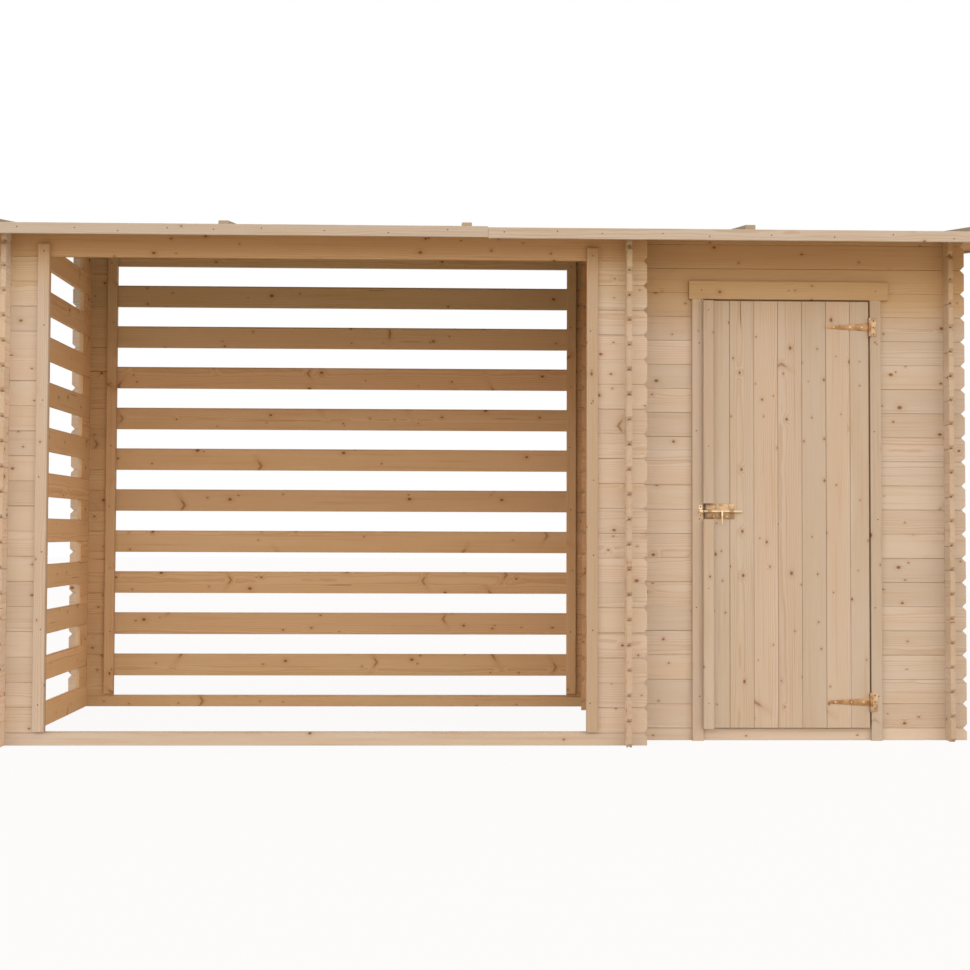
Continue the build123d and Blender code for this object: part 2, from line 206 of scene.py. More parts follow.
class Graph:
    """A node tree that is built from Python, for materials, the world and Geometry Nodes."""

    def __init__(self, tree: Tree) -> None:
        """Start on an empty tree."""
        self.tree = tree

    @classmethod
    def of(cls, owner: bpy.types.Material | bpy.types.World) -> Graph:
        """The emptied tree of a material or a world.

        Args:
            owner: The material or the world.

        Returns:
            Its graph.
        """
        owner.use_nodes = True
        owner.node_tree.nodes.clear()
        return cls(owner.node_tree)

    def node(
        self,
        kind: str,
        inputs: dict[str | int, object] | None = None,
        output: str | int = 0,
        **settings: object,
    ) -> Wire:
        """Add one node.

        Args:
            kind: Blender's name of the node type.
            inputs: Values or wires, by socket name or index.
            output: Name or index of the output to return.
            settings: Properties, set before the sockets.

        Returns:
            The chosen output, or an empty wire where the node has none.
        """
        made = self.tree.nodes.new(kind)
        for key, value in settings.items():
            setattr(made, key, value)
        for key, value in (inputs or {}).items():
            socket = self._find(made.inputs, key)
            if isinstance(value, Wire):
                self.tree.links.new(value.socket, socket)
            else:
                socket.default_value = value
        return Wire(self, self._find(made.outputs, output) if len(made.outputs) else None)

    @staticmethod
    def _find(sockets: Iterable[bpy.types.NodeSocket], key: str | int) -> bpy.types.NodeSocket:
        """The enabled socket with that name, or the enabled socket at that index."""
        shown = [socket for socket in sockets if socket.enabled]
        return shown[key] if isinstance(key, int) else next(s for s in shown if s.name == key)

    def math(self, operation: str, *values: Value) -> Wire:
        """The result of one Math node."""
        return self.node("ShaderNodeMath", dict(enumerate(values)), operation=operation)

    def most(self, values: Sequence[Wire]) -> Wire:
        """The greatest of several values."""
        return reduce(lambda top, value: self.math("MAXIMUM", top, value), values)

    def scaled(self, vector: Wire, by: Wire | Triple) -> Wire:
        """A vector times another, part by part."""
        return self.node("ShaderNodeVectorMath", {0: vector, 1: by}, operation="MULTIPLY")

    def pack(self, x: Value, y: Value, z: Value) -> Wire:
        """A vector of three values."""
        return self.node("ShaderNodeCombineXYZ", {"X": x, "Y": y, "Z": z})

    def unpack(self, vector: Wire) -> tuple[Wire, Wire, Wire]:
        """The three values of a vector."""
        first = self.node("ShaderNodeSeparateXYZ", {0: vector}, "X")
        return first, first.beside(1), first.beside(2)

    def smooth(self, value: Value, low: Value, high: Value) -> Wire:
        """0 below low, 1 above high, and an even curve between."""
        inputs = {"Value": value, "From Min": low, "From Max": high}
        return self.node("ShaderNodeMapRange", inputs, interpolation_type="SMOOTHSTEP")

    def mix(self, share: Value, a: Wire | Colour, b: Wire | Colour, blend: str = "MIX") -> Wire:
        """A colour between two.

        Args:
            share: How much of b.
            a: First colour.
            b: Second colour.
            blend: The node's blend type.

        Returns:
            The mixed colour.
        """
        ends = {key: end if isinstance(end, Wire) else (*end, 1.0) for key, end in (("A", a), ("B", b))}
        inputs = {"Factor": share, **ends}
        return self.node("ShaderNodeMix", inputs, "Result", data_type="RGBA", blend_type=blend)

    def tint(self, share: Value, ground: Wire, colour: Colour) -> Wire:
        """A colour multiplied by another as far as share says."""
        return self.mix(share, ground, self.mix(1.0, ground, colour, "MULTIPLY"))

    def noise(self, place: Wire, scale: float | Triple, detail: float = 2.0, rough: float = 0.5) -> Wire:
        """A noise value from 0 to 1.

        Args:
            place: Where it is read.
            scale: Features per unit, the same all ways or one for each axis.
            detail: The node's detail.
            rough: The node's roughness.

        Returns:
            The value.
        """
        if isinstance(scale, tuple):
            place, scale = self.scaled(place, scale), 1.0
        inputs = {"Vector": place, "Scale": scale, "Detail": detail, "Roughness": rough}
        return self.node("ShaderNodeTexNoise", inputs)

    def attribute(self, name: str, output: str = "Vector") -> Wire:
        """An attribute of the mesh."""
        return self.node("ShaderNodeAttribute", output=output, attribute_name=name)

    def place(self) -> Wire:
        """Object coordinates."""
        return self.node("ShaderNodeTexCoord", output="Object")

    def bump(self, strength: float, distance: float, height: Wire) -> Wire:
        """A normal that follows a height."""
        return self.node("ShaderNodeBump", {"Strength": strength, "Distance": distance, "Height": height})


def srgb(red: int, green: int, blue: int) -> Colour:
    """Turn a colour written as it looks, 0 to 255, into the linear one that the shader takes.

    Args:
        red: Its red part.
        green: Its green part.
        blue: Its blue part.

    Returns:
        The linear colour.
    """

    def linear(part: int) -> float:
        """One part of it."""
        share = part / 255
        return share / 12.92 if share <= 0.04045 else ((share + 0.055) / 1.055) ** 2.4

    return linear(red), linear(green), linear(blue)


# ---- finishes


@dataclass(frozen=True)
class Finish:
    """A material with one Principled shader."""

    def surface(self, g: Graph) -> dict[str, object]:
        """The inputs of the shader; each kind of finish has its own."""
        raise NotImplementedError

    def material(self, look: Look) -> bpy.types.Material:
        """Build the finish.

        Args:
            look: What it is called.

        Returns:
            The material.
        """
        made = bpy.data.materials.new(look.value)
        g = Graph.of(made)
        shader = g.node("ShaderNodeBsdfPrincipled", self.surface(g))
        g.node("ShaderNodeOutputMaterial", {"Surface": shader})
        return made


@dataclass(frozen=True)
class Grain:
    """Where a point lies in its board."""

    along: Wire
    across: Wire
    depth: Wire
    shift: tuple[Wire, Wire, Wire]  # the board's own three random shares
    local: Wire  # its place in the board's own stretch of noise


@dataclass(frozen=True)
class KnotKind:
    """One kind of knot: the cells that may hold one, how many do, and its size and shape."""

    cell: Span  # along and across the board
    share: float
    radius: Span
    long: float = 1.35  # above 1 it is long along the board
    stretch: float = 1.0  # below 1 it is long across the board
    slant: float = 0.0
    depth: float = 1.0


@dataclass(frozen=True)
class Timber(Finish):
    """Planed spruce: growth rings cut by the board's faces, fibres, knots and a tone for each board, with
    painted shade under the eaves and inside the open bay.
    """

    pale: Colour = srgb(213, 200, 186)
    warm: Colour = srgb(209, 191, 171)
    pink: Colour = srgb(215, 196, 180)
    late: Colour = srgb(183, 146, 108)
    knot: Colour = srgb(126, 86, 54)
    ring: float = 0.0034  # width of a year's growth
    ring_strength: float = 0.34
    streak_strength: float = 0.3
    halo_strength: float = 0.42
    pink_strength: float = 0.6
    knot_share: float = 0.62  # of the places where a knot could be
    knot_size: float = 0.88  # of the usual size
    spike_share: float = 0.3
    painted_eaves_shade: Colour = (0.97, 0.91, 0.73)  # painted shade and bounce light under the eaves, multiplied into the colour
    shade_line: Span = (1.58, 1.90)  # heights where the painted shade starts and is complete
    end_grain: Colour = (0.86, 0.82, 0.75)
    bay: tuple[Span, Span] | None = None  # where the open bay is, across and from front to back
    # painted shade on the faces inside the open bay, multiplied into the colour there
    painted_bay_shade: Colour = (0.99, 0.80, 0.57)
    tone: Span = (0.88, 0.98)  # of the darkest and of the lightest board
    roughness: float = 0.66
    contrast: float = 0.12  # of the fibres, and of the knots' gloss
    relief: float = 0.35
    relief_depth: float = 0.0008
    specular: float = 0.28
    spread: Triple = (9.0, 3.0, 2.0)  # how far apart boards lie in the noise
    fibre_scale: Triple = (14.0, 520.0, 520.0)  # features per metre along, across and through a board
    patch_scale: Triple = (1.6, 12.0, 12.0)
    streak_scale: Triple = (2.2, 90.0, 90.0)
    wander_scale: Triple = (0.9, 3.0, 3.0)
    ripple_scale: Triple = (5.0, 20.0, 20.0)

    def surface(self, g: Graph) -> dict[str, object]:
        """Colour, roughness and relief of the boards.

        Args:
            g: The material's graph.

        Returns:
            The inputs of the shader.
        """
        along, across, depth = g.unpack(g.attribute("grain"))
        shift = g.unpack(g.attribute("shift"))
        far, wide, deep = self.spread
        along = along + shift[0] * far
        local = g.pack(along, across + shift[1] * wide, depth + shift[2] * deep)
        grain = Grain(along, across, depth, shift, local)

        knot, swirl, halo = self._knots(g, grain)
        rings = self._rings(g, grain, swirl)
        fibre = g.noise(local, self.fibre_scale, 3.0, 0.6)
        patch = g.noise(local, self.patch_scale)
        streak = g.noise(local, self.streak_scale)

        ground = g.mix(g.smooth(patch, 0.3, 0.7), self.pale, self.warm)
        ground = g.mix(g.smooth(shift[2], 0.35, 0.9) * self.pink_strength, ground, self.pink)
        lines = rings * self.ring_strength + g.smooth(streak, 0.52, 0.8) * self.streak_strength
        ground = g.mix(lines, ground, self.late)
        ground = g.mix(halo * self.halo_strength, ground, self.late)
        ground = g.mix(knot, ground, self.knot)
        ground = g.tint(g.attribute("end", "Fac"), ground, self.end_grain)
        x, y, z = g.unpack(g.place())
        # painted shade under the eaves: the colour is multiplied by a tint that fades in with height
        ground = g.tint(g.smooth(z, *self.shade_line), ground, self.painted_eaves_shade)
        # painted shade on the faces that look into the open bay
        if self.bay:
            ground = g.tint(self._painted_bay_shade_mask(g, x, y), ground, self.painted_bay_shade)
        dark, light = self.tone
        tone = dark + shift[1] * (light - dark) + (fibre - 0.5) * self.contrast
        ground = g.mix(1.0, ground, g.pack(tone, tone, tone), "MULTIPLY")

        height = fibre * 0.35 + rings * 0.5 + knot * 0.6
        return {
            "Base Color": ground,
            "Roughness": self.roughness + (fibre - 0.5) * self.contrast - knot * self.contrast,
            "Normal": g.bump(self.relief, self.relief_depth, height),
            "Specular IOR Level": self.specular,
        }

    def _painted_bay_shade_mask(self, g: Graph, x: Wire, y: Wire) -> Wire:
        """Find the faces that look into the bay, where the colour is darkened and warmed as painted shade.

        Args:
            g: The material's graph.
            x: Place across the building.
            y: Place from front to back.

        Returns:
            1 inside the bay and 0 outside.
        """
        soft = BOARD * 0.4
        across, back = (
            g.smooth(place, low - soft, low + soft) * (1.0 - g.smooth(place, high - soft, high + soft))
            for place, (low, high) in zip((x, y), self.bay)
        )
        return across * back

    def _rings(self, g: Graph, grain: Grain, swirl: Wire) -> Wire:
        """Dark latewood lines, where the board's faces cut the rings of its log.

        Args:
            g: The material's graph.
            grain: Where the point lies in its board.
            swirl: How strongly knots push the rings aside.

        Returns:
            0 in earlywood to 1 in latewood.
        """
        wander = g.noise(grain.local, self.wander_scale, 1.0)
        ripple = g.noise(grain.local, self.ripple_scale)
        pith_across = grain.shift[1] * 0.24 - 0.07
        pith_depth = 0.012 + grain.shift[2] * 0.11
        a = grain.across - pith_across + (wander - 0.5) * 0.05
        d = grain.depth - pith_depth
        radius = g.math("SQRT", a * a + d * d) + grain.along * 0.0016 + (ripple - 0.5) * 0.005 + swirl * 0.007
        turn = g.math("FRACT", radius / self.ring)
        return g.smooth(turn, 0.35, 0.92) * (1.0 - g.smooth(turn, 0.92, 1.0))

    def _knots(self, g: Graph, grain: Grain) -> tuple[Wire, Wire, Wire]:
        """Round knots, spike knots and resin pockets, each in its own grid of random cells.

        Args:
            g: The material's graph.
            grain: Where the point lies in its board.

        Returns:
            The dark knots, their push on the rings, and the warm halo round them.
        """
        knots, pushes, halos = [], [], []
        for number, kind in enumerate(self.knot_kinds()):
            cell_along, cell_across = kind.cell
            small, large = kind.radius
            u = grain.along / cell_along + number * 31.0
            v = grain.across / cell_across + grain.shift[1] * 13.0 + grain.shift[2] * (7.0 + number)
            grid = {"Vector": g.pack(u, v, 0.0), "Scale": 1.0}
            spot = g.node("ShaderNodeTexVoronoi", grid, "Position", voronoi_dimensions="2D")
            spot_u, spot_v, _ = g.unpack(spot)
            pick = g.node("ShaderNodeSeparateColor", {0: spot.beside("Color")})
            size = small + pick.beside(1) ** 1.6 * (large - small)
            kept = g.smooth(pick, 1.0 - kind.share, 1.0 - kind.share + 0.02)
            du = (u - spot_u) * cell_along + (g.noise(g.pack(u, v, 3.0), 26.0, 1.0) - 0.5) * 0.004
            dv = (v - spot_v) * cell_across
            way = g.smooth(pick.beside(2), 0.45, 0.55) * 2.0 - 1.0
            side = (du + g.math("ABSOLUTE", dv) * way * kind.slant) / kind.long
            rise = dv * kind.stretch
            reach = g.math("SQRT", side * side + rise * rise) / size
            core = (1.0 - g.smooth(reach, 0.5, 1.35)) * kept * kind.depth
            knots.append(core * (0.78 + 0.22 * g.smooth(reach, 0.2, 0.7)))
            pushes.append(g.math("EXPONENT", reach * reach * -0.12) * kept)
            halos.append(g.math("EXPONENT", reach * reach * -0.16) * kept)
        # resin pockets, the last kind, push nothing aside and have no halo
        return g.most(knots), g.most(pushes[:-1]), g.most(halos[:-1])

    def knot_kinds(self) -> tuple[KnotKind, ...]:
        """Single knots, small ones between them, branches cut lengthwise, and resin pockets."""
        share, spikes, size = self.knot_share, self.spike_share, self.knot_size
        return (
            KnotKind((0.21, 0.085), share, (0.0030 * size, 0.0080 * size)),
            KnotKind((0.12, 0.07), share * 0.4, (0.0020, 0.0036), depth=0.85),
            KnotKind((0.44, 0.15), spikes, (0.0046, 0.0074), 1.0, stretch=0.26, slant=0.62, depth=0.62),
            KnotKind((0.9, 0.16), spikes, (0.0012, 0.0019), long=44.0, depth=0.95),
        )


@dataclass(frozen=True)
class PlatedSteel(Finish):
    """Steel sheet with a yellow zinc coat, duller where it is handled."""

    bright: Colour
    dull: Colour
    roughness: float = 0.5
    metallic: float = 0.45
    brush_scale: Triple = (60.0, 60.0, 1400.0)

    def surface(self, g: Graph) -> dict[str, object]:
        """Colour, roughness and brushing of the sheet.

        Args:
            g: The material's graph.

        Returns:
            The inputs of the shader.
        """
        place = g.place()
        cloud = g.noise(place, 45.0, 3.0, 0.55)
        grit = g.noise(place, 900.0, 2.0, 0.6)
        brushed = g.noise(place, self.brush_scale)
        coat = g.mix(g.smooth(cloud, 0.3, 0.7), self.bright, self.dull)
        return {
            "Base Color": g.mix(g.smooth(grit, 0.5, 0.8) * 0.3, coat, self.dull),
            "Metallic": self.metallic,
            "Roughness": self.roughness + (cloud - 0.5) * 0.22 + (grit - 0.5) * 0.1,
            "Normal": g.bump(0.05, 0.0003, brushed + grit * 0.5),
        }


@dataclass(frozen=True)
class RoofFelt(Finish):
    """Bitumen felt strewn with slate grit."""

    dark: Colour = srgb(62, 64, 66)
    grit: Colour = srgb(112, 115, 116)
    grains: float = 420.0  # to a metre
    roughness: float = 0.9

    def surface(self, g: Graph) -> dict[str, object]:
        """Colour, roughness and grains of the felt.

        Args:
            g: The material's graph.

        Returns:
            The inputs of the shader.
        """
        place = g.place()
        grains = g.node("ShaderNodeTexVoronoi", {"Vector": place, "Scale": self.grains}, "Distance")
        cloud = g.noise(place, 5.0, 3.0)
        colour = g.mix(g.smooth(grains, 0.1, 0.55), self.grit, self.dark)
        return {
            "Base Color": g.mix(cloud * 0.5, colour, self.dark),
            "Roughness": self.roughness - cloud * 0.1,
            "Normal": g.bump(0.5, 0.0008, 1.0 - grains),
        }


def finishes(bay: tuple[Span, Span]) -> dict[Look, Finish]:
    """Every finish of the object.

    Args:
        bay: Where the open bay is, across and from front to back.

    Returns:
        The finishes.
    """
    plank = Timber(bay=bay, knot_share=0.5, spike_share=0.1)
    # planks with a deeper painted shade under the eaves, for the beam and the shed's recessed front
    deep_shade_planks = replace(plank, painted_eaves_shade=(0.99, 0.84, 0.58), shade_line=(1.56, 1.80))
    slat = Timber(bay=bay, knot=srgb(116, 78, 48), knot_share=0.5)
    # the trims' painted eaves tint is cooler, so the fascias stay pale under the warm light there
    trim = Timber(knot_share=0.36, spike_share=0.06, ring=0.003, painted_eaves_shade=(0.99, 1.03, 1.06), tone=(0.78, 0.9))
    # the posts carry a stronger painted shade at their tops, under the eaves
    post = replace(trim, painted_eaves_shade=(1.12, 0.98, 0.74), shade_line=(1.72, 1.96))
    return {
        Look.PLANKS: plank,
        Look.SHELTERED: deep_shade_planks,
        # the shed front is painted lighter left of the door and darker right of it, evening out the lamps'
        # light across it
        Look.SHED_LEFT: replace(deep_shade_planks, tone=(0.91, 1.01)),
        Look.SHED_RIGHT: replace(deep_shade_planks, tone=(0.81, 0.91)),
        Look.SLATS: replace(
            slat,
            ring_strength=0.42,
            spike_share=0.4,
            # the slats' painted eaves tint is cooler, against the warm light under the roof
            painted_eaves_shade=(0.94, 1.12, 1.27),
            shade_line=(1.46, 1.92),
            painted_bay_shade=(0.98, 0.82, 0.585),
            tone=(0.88, 1.02),
        ),
        # the left wall's slats are painted lighter, standing in for light on faces that look across the bay
        Look.SIDE_SLATS: replace(
            slat,
            painted_eaves_shade=(1.0, 1.07, 1.14),
            end_grain=(0.76, 0.72, 0.66),
            painted_bay_shade=(1.0, 0.84, 0.60),
            tone=(1.08, 1.2),
        ),
        # the dividing wall is painted lighter, standing in for light on its faces that look across, and has a
        # lighter painted eaves shade
        Look.DIVIDER: replace(
            plank, painted_eaves_shade=(0.97, 0.96, 0.85), end_grain=(0.74, 0.71, 0.66), tone=(1.04, 1.14)
        ),
        Look.TRIM: trim,
        Look.LEFT_POST: post,
        Look.RIGHT_POST: replace(
            post,
            pale=srgb(206, 188, 165),
            warm=srgb(202, 180, 151),
            pink=srgb(208, 184, 159),
            ring_strength=0.62,
            knot_share=0.5,
            spike_share=0.2,
        ),
        Look.DOOR: Timber(
            pale=srgb(212, 198, 182),
            warm=srgb(208, 189, 167),
            pink=srgb(214, 194, 176),
            knot_share=0.5,
            knot_size=0.76,
            spike_share=0.06,
            tone=(0.78, 0.87),
        ),
        Look.HEADER: Timber(
            pale=srgb(210, 184, 150),
            warm=srgb(204, 172, 134),
            pink=srgb(212, 180, 146),
            late=srgb(180, 138, 96),
            spike_share=0.06,
            tone=(0.80, 0.92),
        ),
        Look.ROOF: Timber(pale=srgb(208, 178, 140), warm=srgb(200, 164, 120), pink=srgb(206, 172, 132)),
        Look.FELT: RoofFelt(),
        Look.STRAP: PlatedSteel(srgb(186, 148, 104), srgb(148, 108, 70)),
        Look.PLATE: PlatedSteel(srgb(202, 172, 136), srgb(164, 130, 94)),
        Look.BOLT: PlatedSteel(srgb(198, 168, 132), srgb(152, 122, 88)),
        Look.ROD: PlatedSteel(srgb(238, 214, 180), srgb(214, 184, 146), roughness=0.36),
        Look.NAIL: PlatedSteel(srgb(120, 92, 66), srgb(84, 60, 40)),
    }


# ---- the frame's own lines


def middle(node: str) -> Vector:
    """The middle of a node's box."""
    low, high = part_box(node)
    return (low + high) / 2


def front(node: str, points: Iterable[Span], off: float = 0.0) -> list[Place]:
    """Places that face the front, a little off the front of a node, by X and Z."""
    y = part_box(node)[0].y - off
    return [(Vector((x, y, z)), FRONT) for x, z in points]


def line(node: str, axis: int) -> float:
    """A dataclass field that holds the middle of a node's box on one axis."""
    return field(default_factory=lambda: middle(node)[axis])


@dataclass(frozen=True)
class Survey:
    """Centre lines and planes of the frame, read from its nodes."""

    left: float = line("store_left_slats", 0)
    divider: float = line("dividing_wall", 0)
    right: float = line("shed_right_wall", 0)
    front: float = line("store_front_sill", 1)
    back: float = line("store_back_sill", 1)
    shed_front: float = line("shed_front_sill", 1)
    shed_back: float = line("shed_back_wall", 1)

    @property
    def slope(self) -> float:
        """Pitch angle of the roof in radians."""
        beam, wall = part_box("store_front_beam")[1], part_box("dividing_wall")[1]
        return math.atan2(wall.z - beam.z, wall.y - beam.y)

    @property
    def roof(self) -> Matrix:
        """From the roof's own frame (x, up the slope, off the underside) to the row frame.

        Returns:
            The placement.
        """
        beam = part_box("store_front_beam")[1]
        eaves = beam.z - (beam.y - self.front) * math.tan(self.slope)
        return Matrix.Translation((0, self.front, eaves)) @ Matrix.Rotation(self.slope, 4, "X")

    def on_roof(self, way: Vector) -> Vector:
        """A direction of the roof's frame in the row frame."""
        return (self.roof.to_3x3() @ way).normalized()

    def roof_box(self, node: str) -> Box:
        """A node's box in the roof's own frame.

        Args:
            node: The node.

        Returns:
            Its lowest and highest corner there.
        """
        inverse = self.roof.inverted()
        places = list(zip(*(inverse @ vertex.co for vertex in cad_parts[node].data.vertices)))
        return Vector(map(min, places)), Vector(map(max, places))


# ---- meshes


def settle(bm: bmesh.types.BMesh, name: str) -> Mesh:
    """Turn a bmesh into a new mesh and free it.

    Args:
        bm: The bmesh.
        name: Name of the mesh.

    Returns:
        The mesh.
    """
    mesh = bpy.data.meshes.new(name)
    bm.to_mesh(mesh)
    bm.free()
    return mesh


def loft(rings: Sequence[Sequence[Triple]]) -> bmesh.types.BMesh:
    """A closed body through rings with the same number of points.

    Args:
        rings: The points of each ring.

    Returns:
        The body.
    """
    bm = bmesh.new()
    loops = [[bm.verts.new(point) for point in ring] for ring in rings]
    bm.faces.new(reversed(loops[0]))
    bm.faces.new(loops[-1])
    for low, high in zip(loops, loops[1:]):
        for i in range(len(low)):
            j = (i + 1) % len(low)
            bm.faces.new((low[i], low[j], high[j], high[i]))
    return bm


def clip(bm: bmesh.types.BMesh, point: Vector, normal: Vector) -> None:
    """Cut a closed mesh at a plane, drop what lies beyond it and close the cut.

    Args:
        bm: The mesh.
        point: A point of the plane.
        normal: The way towards what is dropped.
    """
    geometry = bm.verts[:] + bm.edges[:] + bm.faces[:]
    bmesh.ops.bisect_plane(bm, geom=geometry, plane_co=point, plane_no=normal, clear_outer=True, dist=1e-7)
    open_edges = [edge for edge in bm.edges if edge.is_boundary]
    if open_edges:
        bmesh.ops.holes_fill(bm, edges=open_edges, sides=0)


def subtract(mesh: Mesh, boxes: Sequence[Box]) -> Mesh:
    """Take boxes out of a closed mesh.

    Args:
        mesh: The mesh to cut.
        boxes: The boxes.

    Returns:
        A new mesh.
    """
    bm = bmesh.new()
    for low, high in boxes:
        matrix = Matrix.Translation((high + low) / 2) @ Matrix.Diagonal((*(high - low), 1.0))
        bmesh.ops.create_cube(bm, size=1.0, matrix=matrix)
    cutter, target = link("cutter", settle(bm, "cutter")), link("target", mesh)
    modifier = target.modifiers.new("cut", "BOOLEAN")
    modifier.operation = "DIFFERENCE"
    modifier.solver = "EXACT"
    modifier.use_self = True
    modifier.object = cutter
    result = bake(target)
    bpy.data.objects.remove(cutter)
    return result


def link(name: str, data: bpy.types.ID) -> bpy.types.Object:
    """A new object for a mesh, a lamp or a camera, in the scene.

    Args:
        name: Name of the object.
        data: What it shows.

    Returns:
        The object.
    """
    made = bpy.data.objects.new(name, data)
    bpy.context.scene.collection.objects.link(made)
    return made


def bake(source: bpy.types.Object) -> Mesh:
    """The evaluated mesh of an object, which is then removed.

    Args:
        source: The object.

    Returns:
        The mesh.
    """
    depsgraph = bpy.context.evaluated_depsgraph_get()
    result = bpy.data.meshes.new_from_object(source.evaluated_get(depsgraph))
    bpy.data.objects.remove(source)
    return result


@dataclass
class Board:
    """One board in its own frame: u along it, d through it, v across it from 0 to cover."""

    span: Span  # its two ends along u
    cover: float = PITCH  # the width that it covers
    thickness: float = BOARD
    tongued: bool = True  # on its upper edge
    grooved: bool = True  # in its lower edge
    laps: tuple[float, ...] = ()  # places along u where other walls cross it
    lap_edges: tuple[bool, bool] = (True, True)  # whether laps cut its lower and its upper edge
    noses: tuple[bool, bool] = (False, False)  # whether its first and its last end are V-cut
    nose_edges: tuple[bool, bool] = (True, True)  # whether their lower and upper corners are cut
    openings: tuple[tuple[Span, Span], ...] = ()  # parts cut out of it, by u and v
    arris: float = ARRIS

    def section(self) -> list[Span]:
        """The cross-section as points in (d, v), anticlockwise.

        Returns:
            The points.
        """
        half, a, top = self.thickness / 2, self.arris, self.cover - (SEAM_GAP if self.tongued else 0.0)
        tongue, groove = TONGUE / 2, TONGUE / 2 + GROOVE_SPARE
        points = [(-half + a, 0.0)]
        if self.grooved:
            points += [(-groove, 0.0), (-groove, GROOVE_DEPTH), (groove, GROOVE_DEPTH), (groove, 0.0)]
        points += [(half - a, 0.0), (half, a), (half, top - a), (half - a, top)]
        if self.tongued:
            rise = top + SEAM_GAP + TONGUE_RISE
            points += [(tongue, top), (tongue, rise), (-tongue, rise), (-tongue, top)]
        return [*points, (-half + a, top), (-half, top - a), (-half, a)]

    def mesh(self) -> Mesh:
        """Build the board.

        Returns:
            A closed mesh in the board's frame, with its grain coordinates stored on its points.
        """
        bm = loft([[(u, d, v) for d, v in self.section()] for u in self.span])
        self._cut_noses(bm)
        bmesh.ops.recalc_face_normals(bm, faces=bm.faces)
        mesh = settle(bm, "board")
        cutters = self._cutters()
        if cutters:
            mesh = subtract(mesh, cutters)
        end = mesh.attributes.new("end", "FLOAT", "FACE")
        for item, face in zip(end.data, mesh.polygons):
            item.value = float(abs(face.normal.x) > 0.5)
        grain = mesh.attributes.new("grain", "FLOAT_VECTOR", "POINT")
        for corner, vertex in zip(grain.data, mesh.vertices):
            corner.vector = vertex.co.xzy
        return mesh

    def _cut_noses(self, bm: bmesh.types.BMesh) -> None:
        """Cut the corners of the free ends at 45 degrees.

        Args:
            bm: The board.
        """
        for end, way, is_cut in zip(self.span, (-1, 1), self.noses):
            for level, up, edge_cut in zip((0.0, self.cover), (-1, 1), self.nose_edges):
                if is_cut and edge_cut:
                    clip(bm, Vector((end - way * NOSE, 0, level)), Vector((way, 0, up)))

    def _cutters(self) -> list[Box]:
        """Boxes that the laps and openings take out of the board.

        Returns:
            The boxes.
        """
        deep, reach = self.thickness, BOARD / 2 + LAP_SPARE
        edges = ((-deep, LAP_DEPTH), (self.cover - LAP_DEPTH, self.cover + deep))
        levels = [edge for edge, is_cut in zip(edges, self.lap_edges) if is_cut]
        cuts = [((lap - reach, lap + reach), level) for lap in self.laps for level in levels]
        return [
            (Vector((u0, -deep, v0)), Vector((u1, deep, v1)))
            for (u0, u1), (v0, v1) in (*cuts, *self.openings)
        ]


HEAD_SIDES = 12
HEAD_RISE = 0.16
CROSS = (0.55, 0.08, -0.25, HEAD_RISE * 3)  # half length and half width of its arms, foot and top


class Head(Enum):
    """Heads of unit radius, by radius and height of their rings; the foot is sunk into what they hold."""

    NAIL = ((1.0, -0.3), (1.0, 0.0), (0.8, HEAD_RISE * 0.7), (0.35, HEAD_RISE))
    SCREW = ((1.0, -0.5), (1.0, 0.05), (0.85, HEAD_RISE), (0.5, HEAD_RISE * 1.15))

    def mesh(self) -> Mesh:
        """Turn the head with its top towards +Z, and cut a cross into a screw's.

        Returns:
            The mesh.
        """
        turns = [math.tau * i / HEAD_SIDES for i in range(HEAD_SIDES)]
        rings = [[(r * math.cos(turn), r * math.sin(turn), z) for turn in turns] for r, z in self.value]
        turned = settle(loft(rings), self.name.lower())
        if self is Head.NAIL:
            return turned
        far, wide, foot, top = CROSS
        arms = [(Vector((-x, -y, foot)), Vector((x, y, top))) for x, y in ((far, wide), (wide, far))]
        return subtract(turned, arms)


# ---- Geometry Nodes


